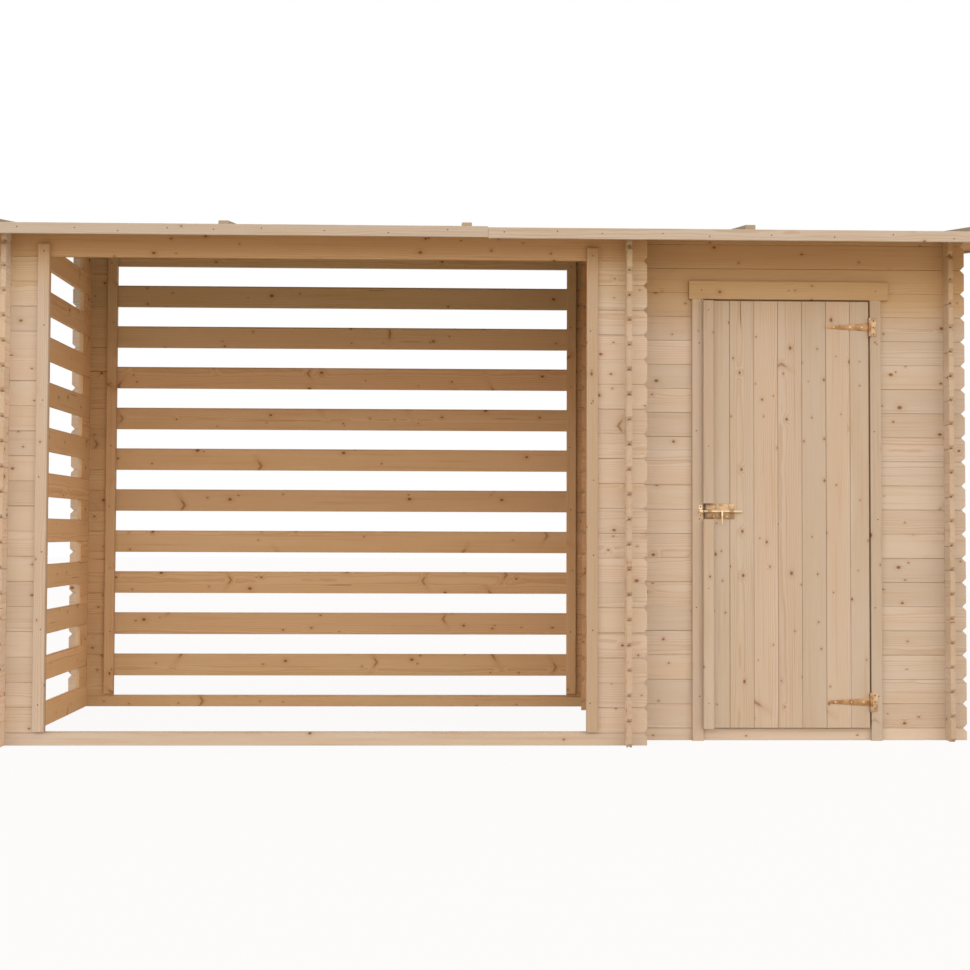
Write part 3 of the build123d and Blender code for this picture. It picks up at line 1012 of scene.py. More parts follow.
class Repeater:
    """Geometry Nodes that lay boards in rows and set fixings on points."""

    def __init__(self) -> None:
        """Build both trees."""
        self.stack_tree = self._stack_tree()
        self.fixing_tree = self._fixing_tree()

    @staticmethod
    def _new_tree(name: str, **sockets: str) -> tuple[Graph, dict[str, Wire]]:
        """A geometry tree with named inputs.

        Args:
            name: Name of the tree.
            sockets: Name and kind of each input after the geometry.

        Returns:
            The graph and its inputs by name.
        """
        tree = bpy.data.node_groups.new(name, "GeometryNodeTree")
        tree.interface.new_socket(name="Geometry", in_out="OUTPUT", socket_type="NodeSocketGeometry")
        for label, kind in {"Geometry": "Geometry", **sockets}.items():
            tree.interface.new_socket(name=label, in_out="INPUT", socket_type=f"NodeSocket{kind}")
        graph = Graph(tree)
        entry = tree.nodes.new("NodeGroupInput")
        return graph, {socket.name: Wire(graph, socket) for socket in entry.outputs if socket.name}

    @staticmethod
    def _finish(g: Graph, geometry: Wire, material: Wire) -> Tree:
        """Realize the instances, set the material and give the result out.

        Args:
            g: The graph.
            geometry: The instances.
            material: Their material.

        Returns:
            The finished tree.
        """
        solid = g.node("GeometryNodeRealizeInstances", {"Geometry": geometry})
        dressed = g.node("GeometryNodeSetMaterial", {"Geometry": solid, "Material": material})
        g.node("NodeGroupOutput", {"Geometry": dressed})
        return g.tree

    def _stack_tree(self) -> Tree:
        """Copies of a board in a row, each with its own shift of the grain and a hair out of line.

        Returns:
            The tree.
        """

        def random_vector(low: float, seed: Wire) -> Wire:
            """Three random values between low and 1 for each board."""
            inputs = {"Min": (low,) * 3, "Max": (1.0,) * 3, "Seed": seed}
            return g.node("FunctionNodeRandomValue", inputs, data_type="FLOAT_VECTOR")

        kinds = {"Count": "Int", "Step": "Vector", "Slack": "Vector", "Seed": "Int", "Material": "Material"}
        g, given = self._new_tree("board_stack", **kinds)
        steps = {"Count": given["Count"], "Offset": given["Step"]}
        row = g.node("GeometryNodeMeshLine", steps, mode="OFFSET")
        laid = g.node("GeometryNodeInstanceOnPoints", {"Points": row, "Instance": given["Geometry"]})
        marked = g.node(
            "GeometryNodeStoreNamedAttribute",
            {"Geometry": laid, "Name": "shift", "Value": random_vector(0.0, given["Seed"])},
            data_type="FLOAT_VECTOR",
            domain="INSTANCE",
        )
        drift = g.scaled(random_vector(-1.0, given["Seed"] + 1.0), given["Slack"])
        loose = g.node("GeometryNodeTranslateInstances", {"Instances": marked, "Translation": drift})
        return self._finish(g, loose, given["Material"])

    def _fixing_tree(self) -> Tree:
        """A head on each point, facing the way that the point says.

        Returns:
            The tree.
        """
        kinds = {"Head": "Object", "Size": "Float", "Seed": "Int", "Material": "Material"}
        g, given = self._new_tree("fixings", **kinds)
        head = g.node("GeometryNodeObjectInfo", {"Object": given["Head"]}, "Geometry")
        named = "GeometryNodeInputNamedAttribute"
        facing = g.node(named, {"Name": "facing"}, "Attribute", data_type="FLOAT_VECTOR")
        turned = g.node("FunctionNodeAlignRotationToVector", {"Vector": facing}, axis="Z")
        turns = {"Min": 0.0, "Max": 3.1, "Seed": given["Seed"]}
        spin = g.node("FunctionNodeRandomValue", turns, data_type="FLOAT")
        about = g.node("FunctionNodeEulerToRotation", {0: g.pack(0.0, 0.0, spin)})
        rotation = g.node("FunctionNodeRotateRotation", {0: turned, 1: about}, rotation_space="LOCAL")
        inputs = {"Points": given["Geometry"], "Instance": head, "Rotation": rotation, "Scale": given["Size"]}
        heads = g.node("GeometryNodeInstanceOnPoints", inputs)
        return self._finish(g, heads, given["Material"])

    @staticmethod
    def run(host: bpy.types.Object, tree: Tree, values: dict[str, object]) -> Mesh:
        """Run a tree on an object with its inputs set by identifier.

        Args:
            host: The object that carries the tree's own geometry.
            tree: The tree.
            values: Inputs by name.

        Returns:
            The plain mesh that comes out.
        """
        modifier = host.modifiers.new(tree.name, "NODES")
        modifier.node_group = tree
        for item in tree.interface.items_tree:
            if item.item_type == "SOCKET" and item.name in values:
                modifier[item.identifier] = values[item.name]
        return bake(host)


# ---- making pieces


@dataclass
class Workshop:
    """What every sub-assembly uses to make and hand over its pieces."""

    survey: Survey
    materials: dict[Look, bpy.types.Material]
    repeater: Repeater
    limits: tuple[Sequence[float], Sequence[float]]

    def stack(
        self,
        board: Board,
        placement: Matrix,
        look: Look,
        seed: int,
        count: int = 1,
        step: Triple = (0.0, 0.0, 0.0),
        slack: Triple = (0.0, 0.0, 0.0),
    ) -> Mesh:
        """Lay copies of a board in a row.

        Args:
            board: The board.
            placement: From its frame to the row frame.
            look: Its finish.
            seed: Seed of the boards' random shares.
            count: Number of boards.
            step: From one board to the next, in the row frame.
            slack: How far a board may lie out of line.

        Returns:
            One mesh of all of them.
        """
        mesh = board.mesh()
        mesh.transform(placement)
        material = self.materials[look]
        values = {"Count": count, "Step": step, "Slack": slack, "Seed": seed, "Material": material}
        return self.repeater.run(link("boards", mesh), self.repeater.stack_tree, values)

    def panel(self, base: Matrix, look: Look, rows: Sequence[Row]) -> list[Mesh]:
        """Lay boards side by side along X.

        Args:
            base: From the first board's frame to the row frame.
            look: Their finish.
            rows: The kinds of board in it.

        Returns:
            The meshes.
        """
        pitch, meshes = rows[0][0].cover, []
        for board, first, count, seed, slack in rows:
            start, step = Matrix.Translation((first * pitch, 0, 0)) @ base, (pitch, 0.0, 0.0)
            meshes.append(self.stack(board, start, look, seed, count, step, (slack, 0.0, 0.0)))
        return meshes

    def box_board(self, box: Box, run: Run, look: Look, seed: int, arris: float = TRIM_ARRIS) -> Mesh:
        """A plain board that fills a box.

        Args:
            box: The box.
            run: Which way it runs.
            look: Its finish.
            seed: Seed of its grain.
            arris: Planed edge.

        Returns:
            The mesh.
        """
        low, high = box
        turn = run.matrix()
        length, thickness, width = (abs(part) for part in turn.transposed() @ (high - low))
        board = Board((-length / 2, length / 2), width, thickness, tongued=False, grooved=False, arris=arris)
        placement = Matrix.Translation((low + high) / 2) @ turn @ Matrix.Translation((0, 0, -width / 2))
        return self.stack(board, placement, look, seed)

    def fixings(self, head: Head, places: Sequence[Place], radius: float, look: Look, seed: int) -> Mesh:
        """Set heads on points.

        Args:
            head: Nail or screw.
            places: Point and facing of each head.
            radius: The heads' radius.
            look: Their finish.
            seed: Seed of the turn of each head.

        Returns:
            One mesh of all of them.
        """
        points = bpy.data.meshes.new("points")
        points.from_pydata([tuple(place) for place, _ in places], [], [])
        facing = points.attributes.new("facing", "FLOAT_VECTOR", "POINT")
        for item, (_, way) in zip(facing.data, places):
            item.vector = way
        template = link("head", head.mesh())
        values = {"Head": template, "Size": radius, "Seed": seed, "Material": self.materials[look]}
        result = self.repeater.run(link("points", points), self.repeater.fixing_tree, values)
        bpy.data.objects.remove(template)
        return result

    def nails(self, places: Sequence[Place], radius: float, seed: int) -> Mesh:
        """Nails in the timber."""
        return self.fixings(Head.NAIL, places, radius, Look.NAIL, seed)

    def deliver(
        self,
        name: str,
        meshes: Sequence[Mesh],
        body: Body,
        slot: Slot,
        node: str,
        under_roof: bool = False,
        smooth: float | None = None,
    ) -> None:
        """Join meshes to one piece and hand it to its body.

        Args:
            name: Name of the piece.
            meshes: Its parts.
            body: The body that it rides on.
            slot: The record's material slot; not used.
            node: The node that it stands for.
            under_roof: Whether to cut it at the roof's underside.
            smooth: Angle in degrees below which edges look round.
        """
        mesh = self._join(meshes)
        mesh.name = name
        if under_roof:
            bm = bmesh.new()
            bm.from_mesh(mesh)
            clip(bm, self.survey.roof.translation, self.survey.on_roof(UP))
            bm.to_mesh(mesh)
            bm.free()
        places = [0.0] * (3 * len(mesh.vertices))
        mesh.vertices.foreach_get("co", places)
        low, high = (list(corner) * len(mesh.vertices) for corner in self.limits)
        mesh.vertices.foreach_set("co", [min(max(c, a), b) for c, a, b in zip(places, low, high)])
        mesh.update()
        if smooth is not None:
            mesh.shade_smooth()
            mesh.set_sharp_from_angle(angle=math.radians(smooth))
        piece = link(name, mesh)
        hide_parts(node)
        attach(piece, body.value)
        LOG.info("%s: %d faces on %s", name, len(mesh.polygons), body.value)

    @staticmethod
    def _join(meshes: Sequence[Mesh]) -> Mesh:
        """One mesh out of several, with their materials and attributes.

        Args:
            meshes: The meshes.

        Returns:
            The joined mesh.
        """
        objects = [link(f"part_{i}", mesh) for i, mesh in enumerate(meshes)]
        chosen = {"selected_objects": objects, "selected_editable_objects": objects}
        if len(objects) > 1:
            with bpy.context.temp_override(active_object=objects[0], **chosen):
                bpy.ops.object.join()
        mesh = objects[0].data
        bpy.data.objects.remove(objects[0])
        return mesh


@dataclass
class Assembly:
    """A part of the building that is made in the workshop."""

    shop: Workshop


# ---- walls


@dataclass
class PlankWall(Assembly):
    """Planks on one another in the place of one node."""

    node: str
    run: Run
    crossings: tuple[float, ...]  # where other walls cross it, along its run
    seed: int
    noses: tuple[bool, bool] = (True, True)  # whether its first and its last end stand free
    every: int = 1  # 2 for slats with one plank left out between them
    under_roof: bool = False  # whether the roof cuts its top
    sill: bool = False  # whether it is, or starts with, the half plank on the ground
    rows: int | None = None  # full planks, or None for as many as the node is high
    look: Look = Look.PLANKS
    opening: tuple[Span, float] | None = None  # span and height of one in its lowest full plank

    def build(self) -> None:
        """Make the wall."""
        axis = 0 if self.run is Run.ALONG_X else 1
        low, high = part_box(self.node)
        centre = middle(self.node)
        centre[axis] = centre.z = 0.0
        base = Matrix.Translation(centre) @ self.run.matrix()
        common = {"span": (low[axis], high[axis]), "laps": self.crossings, "noses": self.noses}
        meshes, level = [], low.z

        def lay(board: Board, seed: int, *row: object) -> None:
            """Lay a board, or the start of a row, on what is there."""
            placement = Matrix.Translation((0, 0, level)) @ base
            meshes.append(self.shop.stack(board, placement, self.look, seed, *row))

        if self.sill:
            edges = {"lap_edges": (False, True), "nose_edges": (False, True)}
            lay(Board(cover=HALF, grooved=False, **edges, **common), self.seed)
            level += HALF
        rows = self._row_count(high.z - level)
        if self.opening and rows:
            doorway, head = self.opening
            lay(Board(openings=((doorway, (-BOARD, head - level)),), **common), self.seed + 3)
            level += PITCH
            rows -= 1
        if rows:
            slack = (WAVER, WAVER, SLIP)[:axis] + (0.0,) + (WAVER, WAVER, SLIP)[axis + 1 :]
            lay(Board(**common), self.seed + 5, rows, (0.0, 0.0, PITCH * self.every), slack)
        name = f"{self.node}_planks"
        self.shop.deliver(name, meshes, Body.BUILDING, Slot.WALL, self.node, self.under_roof)

    def _row_count(self, height: float) -> int:
        """Number of full planks in a height, the last of them perhaps cut.

        Args:
            height: The height.

        Returns:
            How many planks.
        """
        if self.rows is not None:
            return self.rows
        return max(0, math.ceil((height - SLIVER - TONGUE_RISE) / (PITCH * self.every)))


@dataclass
class Walls(Assembly):
    """Every plank wall of the store and of the shed."""

    doorway: Span
    head: float  # height of the doorway

    def build(self) -> None:
        """Make the walls."""
        s, x, y = self.shop.survey, Run.ALONG_X, Run.ALONG_Y
        store, shed, sides = (s.left, s.divider), (s.divider, s.right), (s.front, s.back)
        crossed = (s.front, s.shed_front, s.shed_back, s.back)
        first, last = {"noses": (True, False)}, {"noses": (False, True)}
        top, sill, alone = {"under_roof": True}, {"sill": True}, {"sill": True, "rows": 0}
        slats, side_slats = {"every": 2, "look": Look.SLATS}, {"every": 2, "look": Look.SIDE_SLATS}
        # the finish with a deeper painted shade under the eaves
        deep_shade_planks, notch = {"look": Look.SHELTERED}, {"opening": (self.doorway, self.head)}
        rows = (
            ("store_front_sill", x, store, 13, alone),
            ("store_front_left_boards", x, (s.left,), 23, first),
            ("store_front_right_boards", x, (s.divider,), 37, last),
            ("store_front_beam", x, store, 41, top | deep_shade_planks),
            ("store_left_slats", y, sides, 53, top | side_slats),
            ("store_left_front_fillers", y, (s.front,), 61, first | side_slats),
            ("store_left_back_fillers", y, (s.back,), 67, last | side_slats),
            ("store_back_sill", x, store, 71, alone | {"look": Look.SLATS}),
            ("store_back_slats", x, store, 83, top | slats),
            ("store_back_left_fillers", x, (s.left,), 89, first | slats),
            ("store_back_right_fillers", x, (s.divider,), 97, last | slats),
            ("dividing_wall", y, crossed, 101, top | {"look": Look.DIVIDER}),
            ("shed_right_wall", y, (s.shed_front, s.shed_back), 113, top),
            ("shed_back_wall", x, shed, 127, sill | top),
            ("shed_front_sill", x, shed, 131, alone),
            ("shed_front_left_wall", x, (s.divider,), 139, first | {"look": Look.SHED_LEFT}),
            ("shed_front_right_wall", x, (s.right,), 149, last | {"look": Look.SHED_RIGHT}),
            ("shed_front_upper_wall", x, shed, 157, top | deep_shade_planks | notch),
        )
        for *place, traits in rows:
            PlankWall(self.shop, *place, **traits).build()


# ---- posts and door trims


@dataclass
class Trims(Assembly):
    """Posts that hold the ends of the short boards, and the jambs and header of the doorway."""

    post_step: float = 3 * PITCH
    post_nail: float = 0.0028
    post_end: float = 0.030  # from its top to the first nail
    post_foot: float = 0.02
    scatter: Span = (0.008, 0.006)  # of its nails, across and up
    trim_nail: float = 0.0026
    jamb_nails: int = 5
    jamb_stagger: float = 0.006
    header_end: float = 0.05
    posts: tuple[tuple[str, int, Look], ...] = (
        ("store_front_left_post", 211, Look.LEFT_POST),
        ("store_front_right_post", 49, Look.RIGHT_POST),
        ("store_back_left_post", 229, Look.SLATS),
        ("store_back_right_post", 233, Look.SLATS),
    )
    jambs: tuple[tuple[str, int], ...] = (("door_left_jamb", 54), ("door_right_jamb", 31))

    def build(self) -> None:
        """Make the posts and trims with their nails."""
        rng, (wide, tall) = random.Random(5), self.scatter
        for node, seed, look in self.posts:
            low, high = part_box(node)
            points, level = [], high.z - self.post_end
            while level > low.z + self.post_foot:
                x = (low.x + high.x) / 2 + rng.uniform(-wide, wide)
                points.append((x, level + rng.uniform(-tall, tall)))
                level -= self.post_step
            self._trim(node, Run.UPRIGHT, Slot.TRIM, look, (seed, seed), points, self.post_nail)
        for node, seed in self.jambs:
            low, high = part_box(node)
            x, rise = (low.x + high.x) / 2, high.z - low.z
            points = [
                (x + self.jamb_stagger * (-1) ** i, low.z + rise * (i + 0.5) / self.jamb_nails)
                for i in range(self.jamb_nails)
            ]
            self._trim(node, Run.UPRIGHT, Slot.DOOR, Look.DOOR, (seed, seed), points, self.trim_nail)
        node, centre = "door_header", middle("door_header")
        low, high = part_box(node)
        points = [(x, centre.z) for x in (low.x + self.header_end, centre.x, high.x - self.header_end)]
        self._trim(node, Run.ALONG_X, Slot.DOOR, Look.HEADER, (263, 257), points, self.trim_nail)

    def _trim(
        self,
        node: str,
        run: Run,
        slot: Slot,
        look: Look,
        seeds: tuple[int, int],
        points: Sequence[Span],
        radius: float,
    ) -> None:
        """Deliver a plain board in the box of a node, with nails in its front.

        Args:
            node: The node.
            run: Which way it runs.
            slot: The record's material slot.
            look: Its finish.
            seeds: Seeds of its grain and of the nails' turns.
            points: X and Z of the nails.
            radius: Their radius.
        """
        board = self.shop.box_board(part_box(node), run, look, seeds[0])
        nails = self.shop.nails(front(node, points), radius, seeds[1])
        self.shop.deliver(f"{node}_board", [board, nails], Body.BUILDING, slot, node)


# ---- door


@dataclass
class Door(Assembly):
    """The boarded door: upright boards, ledges behind them and the strip that covers its free edge."""

    board_pitch: float = 0.096
    full_boards: int = 6
    arris: float = 0.0018
    ledge_arris: float = 0.003
    nail_radius: float = 0.0022
    screw_radius: float = 0.0038
    screw_inset: float = 0.022
    screw_scatter: Span = (0.005, 0.004)  # across and up
    bolt_spare: float = 0.001  # between the strip and the bolt's plate
    strip_nails: tuple[float, ...] = (0.15, 0.60, 1.16, 1.70)  # heights

    def build(self) -> None:
        """Make the leaf, the ledges and the closing strip."""
        for node, meshes in (
            ("door_leaf", self._leaf()),
            ("door_ledges", self._ledges()),
            ("door_closing_strip", self._strip()),
        ):
            name = "door_ledge_boards" if node == "door_ledges" else f"{node}_boards"
            self.shop.deliver(name, meshes, Body.DOOR, Slot.DOOR, node)

    def _leaf(self) -> list[Mesh]:
        """Boards of even width, and a narrower one at the hinges.

        Returns:
            The boards.
        """
        low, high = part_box("door_leaf")
        base = Matrix.Translation((low.x, (low.y + high.y) / 2, 0)) @ Run.UPRIGHT.matrix()
        common = {"span": (low.z, high.z), "thickness": high.y - low.y, "arris": self.arris}
        pitch, count = self.board_pitch, self.full_boards
        rows = [
            (Board(cover=pitch, grooved=False, **common), 0, 1, 301, 0.0),
            (Board(cover=pitch, **common), 1, count - 1, 307, SLIP / 2),
            (Board(cover=high.x - low.x - count * pitch, tongued=False, **common), count, 1, 311, 0.0),
        ]
        return self.shop.panel(base, Look.DOOR, rows)

    def _ledges(self) -> list[Mesh]:
        """Three ledges across the back of the boards, with their screws.

        Returns:
            Ledges and screws in turn.
        """
        low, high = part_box("door_ledges")
        meshes = []
        for number, level in enumerate((low.z + HALF, (low.z + high.z) / 2, high.z - HALF)):
            box = Vector((low.x, low.y, level - HALF)), Vector((high.x, high.y, level + HALF))
            meshes.append(self.shop.box_board(box, Run.ALONG_X, Look.DOOR, 331 + number, self.ledge_arris))
            meshes.append(self._ledge_screws(box, 337 + number))
        return meshes

    def _ledge_screws(self, box: Box, seed: int) -> Mesh:
        """Screws from the ledge into every board, two to a board.

        Args:
            box: The ledge.
            seed: Seed of the screws' places and turns.

        Returns:
            The screws.
        """
        low, high = box
        rng, (wide, tall) = random.Random(seed), self.screw_scatter
        places, x = [], low.x + self.screw_inset
        while x < high.x:
            for rise in (-self.screw_inset, self.screw_inset):
                level = (low.z + high.z) / 2 + rise + rng.uniform(-tall, tall)
                places.append((Vector((x + rng.uniform(-wide, wide), high.y, level)), -FRONT))
            x += self.board_pitch
        return self.shop.fixings(Head.SCREW, places, self.screw_radius, Look.ROD, seed)

    def _strip(self) -> list[Mesh]:
        """The closing strip, in two lengths with the bolt between them.

        Returns:
            The two lengths and their nails.
        """
        low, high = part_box("door_closing_strip")
        plate_low, plate_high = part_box("bolt_plate")
        spans = ((low.z, plate_low.z - self.bolt_spare), (plate_high.z + self.bolt_spare, high.z))
        meshes = []
        for number, (start, stop) in enumerate(spans):
            box = Vector((low.x, low.y, start)), Vector((high.x, high.y, stop))
            meshes.append(self.shop.box_board(box, Run.UPRIGHT, Look.DOOR, 347 + number, self.ledge_arris))
        places = front("door_closing_strip", [((low.x + high.x) / 2, level) for level in self.strip_nails])
        return [*meshes, self.shop.nails(places, self.nail_radius, 353)]


# ---- ironmongery


@dataclass
class Ironmongery(Assembly):
    """Hinges and barrel bolt, with rounded edges and their screws."""

    edge: float = 0.0005
    edge_angle: float = 40.0  # degrees above which an edge is rounded
    flat_angle: float = 2.0  # degrees below which faces are one
    smooth_angle: float = 35.0
    sheet: float = 0.0025  # thickness of straps and plates
    screw_radius: float = 0.0032
    pin_inset: float = 0.006
    strap_screws: tuple[float, ...] = (0.030, 0.078, 0.142)  # from the pin
    plate_inset: float = 0.010
    plate_screws: tuple[float, ...] = (-0.026, 0.0, 0.026)  # from its middle
    bolt_inset: Span = (0.030, 0.010)  # of its screws, from its sides and from its edges
    keeper_inset: float = 0.008

    def build(self) -> None:
        """Make hinges and bolt."""
        for number, node in enumerate(("bottom_hinge_strap", "top_hinge_strap")):
            low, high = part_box(node)
            pin, z = high.x - self.pin_inset, (low.z + high.z) / 2
            places = front("door_leaf", [(pin - away, z) for away in self.strap_screws], self.sheet)
            self._metal(node, Body.DOOR, Slot.HINGE, Look.STRAP, places, Look.ROD, 401 + number)
        for number, node in enumerate(("bottom_hinge_plate", "top_hinge_plate")):
            low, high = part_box(node)
            x, z = high.x - self.plate_inset, (low.z + high.z) / 2
            places = front("door_right_jamb", [(x, z + rise) for rise in self.plate_screws], self.sheet)
            self._metal(node, Body.BUILDING, Slot.HINGE, Look.PLATE, places, Look.NAIL, 409 + number)
        (low, high), (side, edge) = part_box("bolt_plate"), self.bolt_inset
        points = [(x, z) for x in (low.x + side, high.x - side) for z in (low.z + edge, high.z - edge)]
        places = front("door_leaf", points, self.sheet)
        self._metal("bolt_plate", Body.DOOR, Slot.BOLT, Look.BOLT, places, Look.ROD, 419)
        low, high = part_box("bolt_keeper")
        levels = (low.z + self.keeper_inset, high.z - self.keeper_inset)
        places = front("door_left_jamb", [((low.x + high.x) / 2, z) for z in levels], self.sheet)
        self._metal("bolt_keeper", Body.BUILDING, Slot.BOLT, Look.ROD, places, Look.NAIL, 421)
        self._metal("bolt_rod", Body.BOLT, Slot.BOLT, Look.ROD)

    def _metal(
        self,
        node: str,
        body: Body,
        slot: Slot,
        look: Look,
        screws: Sequence[Place] = (),
        screw_look: Look = Look.ROD,
        seed: int = 0,
    ) -> None:
        """Deliver a node's own shape with its edges rounded, and screws in it.

        Args:
            node: The node.
            body: The body that it rides on.
            slot: The record's material slot.
            look: Its finish.
            screws: Point and facing of each screw.
            screw_look: Their finish.
            seed: Seed of their turns.
        """
        bm = bmesh.new()
        bm.from_mesh(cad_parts[node].data)
        bmesh.ops.remove_doubles(bm, verts=bm.verts, dist=1e-5)
        flat = math.radians(self.flat_angle)
        bmesh.ops.dissolve_limit(bm, angle_limit=flat, verts=bm.verts, edges=bm.edges)
        host = link(node, settle(bm, node))
        rounded = host.modifiers.new("edges", "BEVEL")
        rounded.width = self.edge
        rounded.segments = 2
        rounded.limit_method = "ANGLE"
        rounded.angle_limit = math.radians(self.edge_angle)
        shaped = bake(host)
        shaped.materials.clear()
        shaped.materials.append(self.shop.materials[look])
        meshes = [shaped]
        if screws:
            meshes.append(self.shop.fixings(Head.SCREW, screws, self.screw_radius, screw_look, seed))
        self.shop.deliver(f"{node}_metal", meshes, body, slot, node, smooth=self.smooth_angle)


# ---- roof


@dataclass
class Roof(Assembly):
    """Roof boards up the slope, felt, battens, fascias and verge boards."""

    board_pitch: float = 0.096
    edge_arris: float = 0.0018
    nail_radius: float = 0.0026
    nail_scatter: float = 0.008
    nail_gap: Span = (0.15, 0.24)  # along an edge board
    nail_ends: Span = (0.06, 0.03)
    batten_nails: int = 6
    edges: tuple[tuple[str, Run, Vector, int], ...] = (
        ("front_fascia_left", Run.ALONG_X, FRONT, 521),
        ("front_fascia_right", Run.ALONG_X, FRONT, 56),
        ("back_fascia_left", Run.ALONG_X, -FRONT, 541),
        ("back_fascia_right", Run.ALONG_X, -FRONT, 547),
        ("left_verge_board", Run.ALONG_Y, -RIGHT, 557),
        ("right_verge_board", Run.ALONG_Y, RIGHT, 563),
    )

    def build(self) -> None:
        """Make the roof."""
        self._boards()
        rng = random.Random(17)
        for node, run, facing, seed in self.edges:
            box = self.shop.survey.roof_box(node)
            mesh = self.shop.box_board(box, run, Look.TRIM, seed, self.edge_arris)
            mesh.transform(self.shop.survey.roof)
            nails = self._edge_nails(box, facing, rng, seed)
            self.shop.deliver(f"{node}_board", [mesh, nails], Body.BUILDING, Slot.TRIM, node)
        self._battens()
        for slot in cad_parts["roof_felt"].material_slots:
            slot.material = self.shop.materials[Look.FELT]

    def _boards(self) -> None:
        """Tongued boards laid side by side, each from front to back."""
        low, high = self.shop.survey.roof_box("roof_deck")
        pitch, width = self.board_pitch, high.x - low.x
        count = math.floor(width / pitch)
        common = {"span": (low.y, high.y), "thickness": high.z - low.z, "arris": TRIM_ARRIS}
        corner = Matrix.Translation((low.x, 0, (low.z + high.z) / 2))
        base = self.shop.survey.roof @ corner @ Run.FLAT_ALONG_Y.matrix()
        rows = [
            (Board(cover=pitch, **common), 0, count, 503, SLIP),
            (Board(cover=width - count * pitch, tongued=False, **common), count, 1, 509, 0.0),
        ]
        meshes = self.shop.panel(base, Look.ROOF, rows)
        self.shop.deliver("roof_deck_boards", meshes, Body.BUILDING, Slot.ROOF, "roof_deck")

    def _edge_nails(self, box: Box, facing: Vector, rng: random.Random, seed: int) -> Mesh:
        """Nails along the outer face of an edge board.

        Args:
            box: The board in the roof's frame.
            facing: The way that its outer face looks, there.
            rng: Source of the uneven spacing.
            seed: Seed of the heads' turns.

        Returns:
            The nails.
        """
        low, high = box
        axis = 1 if facing.x else 0
        outer = high if sum(facing) > 0 else low
        places, at = [], low[axis] + self.nail_ends[0]
        while at < high[axis] - self.nail_ends[1]:
            spot = outer.copy()
            spot[axis] = at
            spot.z = (low.z + high.z) / 2 + rng.uniform(-self.nail_scatter, self.nail_scatter)
            places.append((self.shop.survey.roof @ spot, self.shop.survey.on_roof(facing)))
            at += rng.uniform(*self.nail_gap)
        return self.shop.nails(places, self.nail_radius, seed)

    def _battens(self) -> None:
        """Battens on the felt, up the slope."""
        roof, node = self.shop.survey.roof, "roof_battens"
        low, high = self.shop.survey.roof_box(node)
        inverse, vertices = roof.inverted(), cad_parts[node].data.vertices
        lines = sorted({round((inverse @ vertex.co).x, 5) for vertex in vertices})
        meshes, places = [], []
        for number, (left, right) in enumerate(zip(lines[::2], lines[1::2])):
            box = Vector((left, low.y, low.z)), Vector((right, high.y, high.z))
            mesh = self.shop.box_board(box, Run.FLAT_ALONG_Y, Look.TRIM, 571 + number)
            mesh.transform(roof)
            meshes.append(mesh)
            for i in range(self.batten_nails):
                y = low.y + (high.y - low.y) * (i + 0.5) / self.batten_nails
                places.append((roof @ Vector(((left + right) / 2, y, high.z)), self.shop.survey.on_roof(UP)))
        meshes.append(self.shop.nails(places, self.nail_radius, 587))
        self.shop.deliver("roof_batten_boards", meshes, Body.BUILDING, Slot.TRIM, node)


# ---- stage


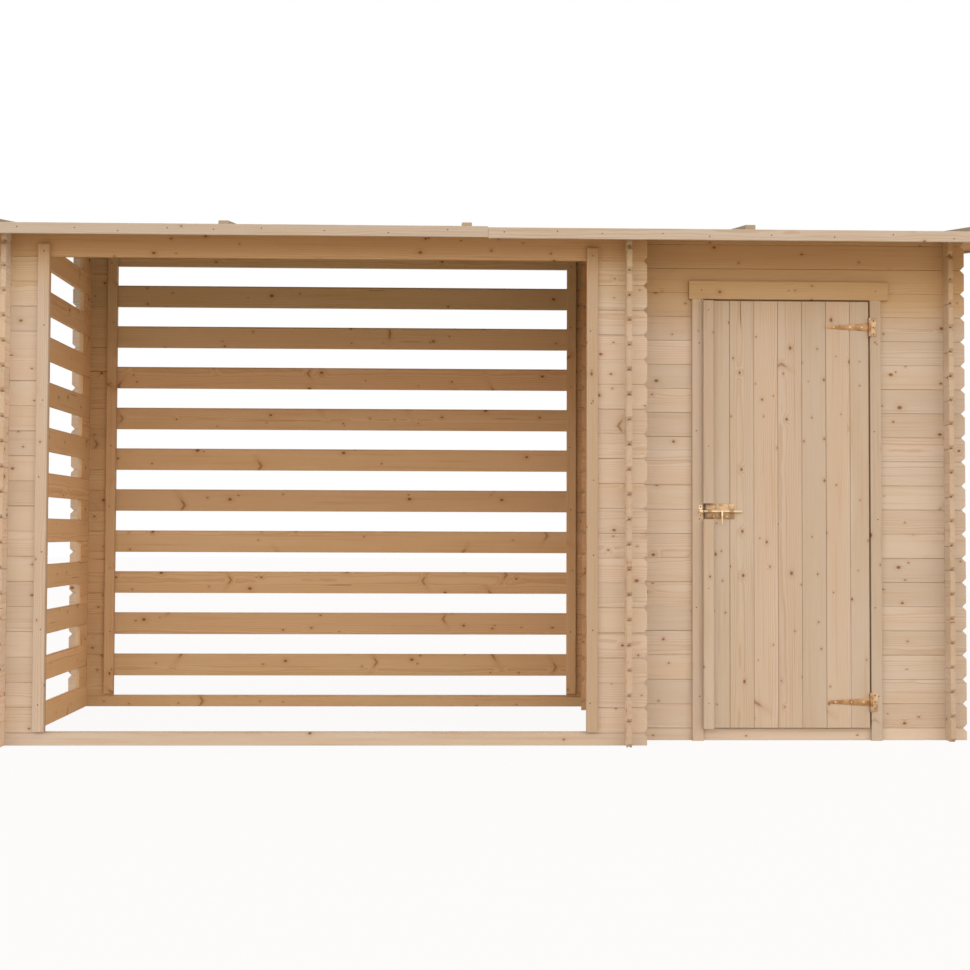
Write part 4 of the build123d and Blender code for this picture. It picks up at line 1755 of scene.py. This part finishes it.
@dataclass
class Stage:
    """Floor, light and camera."""

    floor_size: float = 80.0
    floor: Colour = (0.88, 0.84, 0.78)
    floor_glow: float = 0.92  # how much of it the camera sees as white
    sky: Colour = (1.0, 0.75, 0.49)  # light that comes round from timber and ground
    sky_level: float = 0.56
    lamps: tuple[Span, ...] = ((-50.0, 0.84), (0.0, 0.72), (50.0, 0.84))  # degrees to the side, power
    lamp_height: float = 24.0  # degrees above the ground
    lamp_spread: float = 50.0
    camera_at: Triple = (-0.1451, -6.3212, 0.8174)
    yaw: float = 1.418  # degrees to the right
    pitch: float = 1.836  # degrees up
    roll: float = 0.2
    lens: float = 54.70
    sensor: float = 36.0
    sight: float = 200.0

    def build(self) -> None:
        """Set the stage."""
        bpy.context.scene.view_settings.view_transform = "Standard"
        self._world()
        self._floor()
        self._lamps()
        self._camera()

    def _world(self) -> None:
        """An even sky that the camera and mirrors see as white."""
        world = bpy.data.worlds.new("studio")
        bpy.context.scene.world = world
        g = Graph.of(world)
        ray = g.node("ShaderNodeLightPath", output="Is Camera Ray")
        seen = g.most([ray, ray.beside("Is Glossy Ray"), ray.beside("Is Transmission Ray")])
        strength = self.sky_level + seen * (1.0 - self.sky_level)
        colour = g.mix(seen, self.sky, (1.0, 1.0, 1.0))
        sky = g.node("ShaderNodeBackground", {"Color": colour, "Strength": strength})
        g.node("ShaderNodeOutputWorld", {"Surface": sky})

    def _floor(self) -> None:
        """A pale floor that keeps a light shadow."""
        half = self.floor_size / 2
        mesh = bpy.data.meshes.new("floor")
        corners = [(-half, -half, 0), (half, -half, 0), (half, half, 0), (-half, half, 0)]
        mesh.from_pydata(corners, [], [(0, 1, 2, 3)])
        material = bpy.data.materials.new("floor")
        g = Graph.of(material)
        seen = g.node("ShaderNodeLightPath", output="Is Camera Ray") * self.floor_glow
        matte = g.node("ShaderNodeBsdfDiffuse", {"Color": (*self.floor, 1.0)})
        glow = g.node("ShaderNodeEmission", {"Color": (1.0, 1.0, 1.0, 1.0), "Strength": 1.0})
        shader = g.node("ShaderNodeMixShader", {0: seen, 1: matte, 2: glow})
        g.node("ShaderNodeOutputMaterial", {"Surface": shader})
        mesh.materials.append(material)
        link("floor", mesh)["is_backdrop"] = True

    def _lamps(self) -> None:
        """Large soft lights, low in front and to both sides."""
        rise = math.radians(self.lamp_height)
        for number, (turn, power) in enumerate(self.lamps):
            side = math.radians(turn)
            ray = Vector((math.sin(side) * math.cos(rise), math.cos(side) * math.cos(rise), -math.sin(rise)))
            data = bpy.data.lights.new(f"softbox_{number}", "SUN")
            data.energy = power
            data.angle = math.radians(self.lamp_spread)
            link(data.name, data).rotation_euler = ray.to_track_quat("-Z", "Y").to_euler()

    def _camera(self) -> None:
        """The camera, from its yaw, pitch and roll."""
        yaw, pitch, roll = (math.radians(angle) for angle in (self.yaw, self.pitch, self.roll))
        ahead = Vector((math.sin(yaw) * math.cos(pitch), math.cos(yaw) * math.cos(pitch), math.sin(pitch)))
        level = Vector((math.cos(yaw), -math.sin(yaw), 0))
        top = level.cross(ahead)
        right = math.cos(roll) * level + math.sin(roll) * top
        up = math.cos(roll) * top - math.sin(roll) * level
        data = bpy.data.cameras.new("camera")
        data.sensor_width = self.sensor
        data.lens = self.lens
        data.clip_end = self.sight
        camera = link("camera", data)
        turn = Matrix((right, up, -ahead)).transposed().to_4x4()
        camera.matrix_world = Matrix.Translation(self.camera_at) @ turn
        bpy.context.scene.camera = camera


def main() -> None:
    """Build every sub-assembly in order and report it."""
    logging.basicConfig(level=logging.INFO, format="%(message)s")
    cad_box = [list(corner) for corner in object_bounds()]
    survey = Survey()
    bay = ((survey.left, survey.divider), (survey.front, survey.back))
    materials = {look: finish.material(look) for look, finish in finishes(bay).items()}
    shop = Workshop(survey, materials, Repeater(), (cad_box[0], cad_box[1]))
    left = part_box("shed_front_left_wall")[1].x
    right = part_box("shed_front_right_wall")[0].x
    leaf_low, leaf_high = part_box("door_leaf")
    head = leaf_high.z - (left - leaf_low.x)
    for part in (Walls(shop, (left, right), head), Trims(shop), Door(shop), Ironmongery(shop), Roof(shop)):
        part.build()
    Stage().build()


if __name__ == "__main__":
    main()
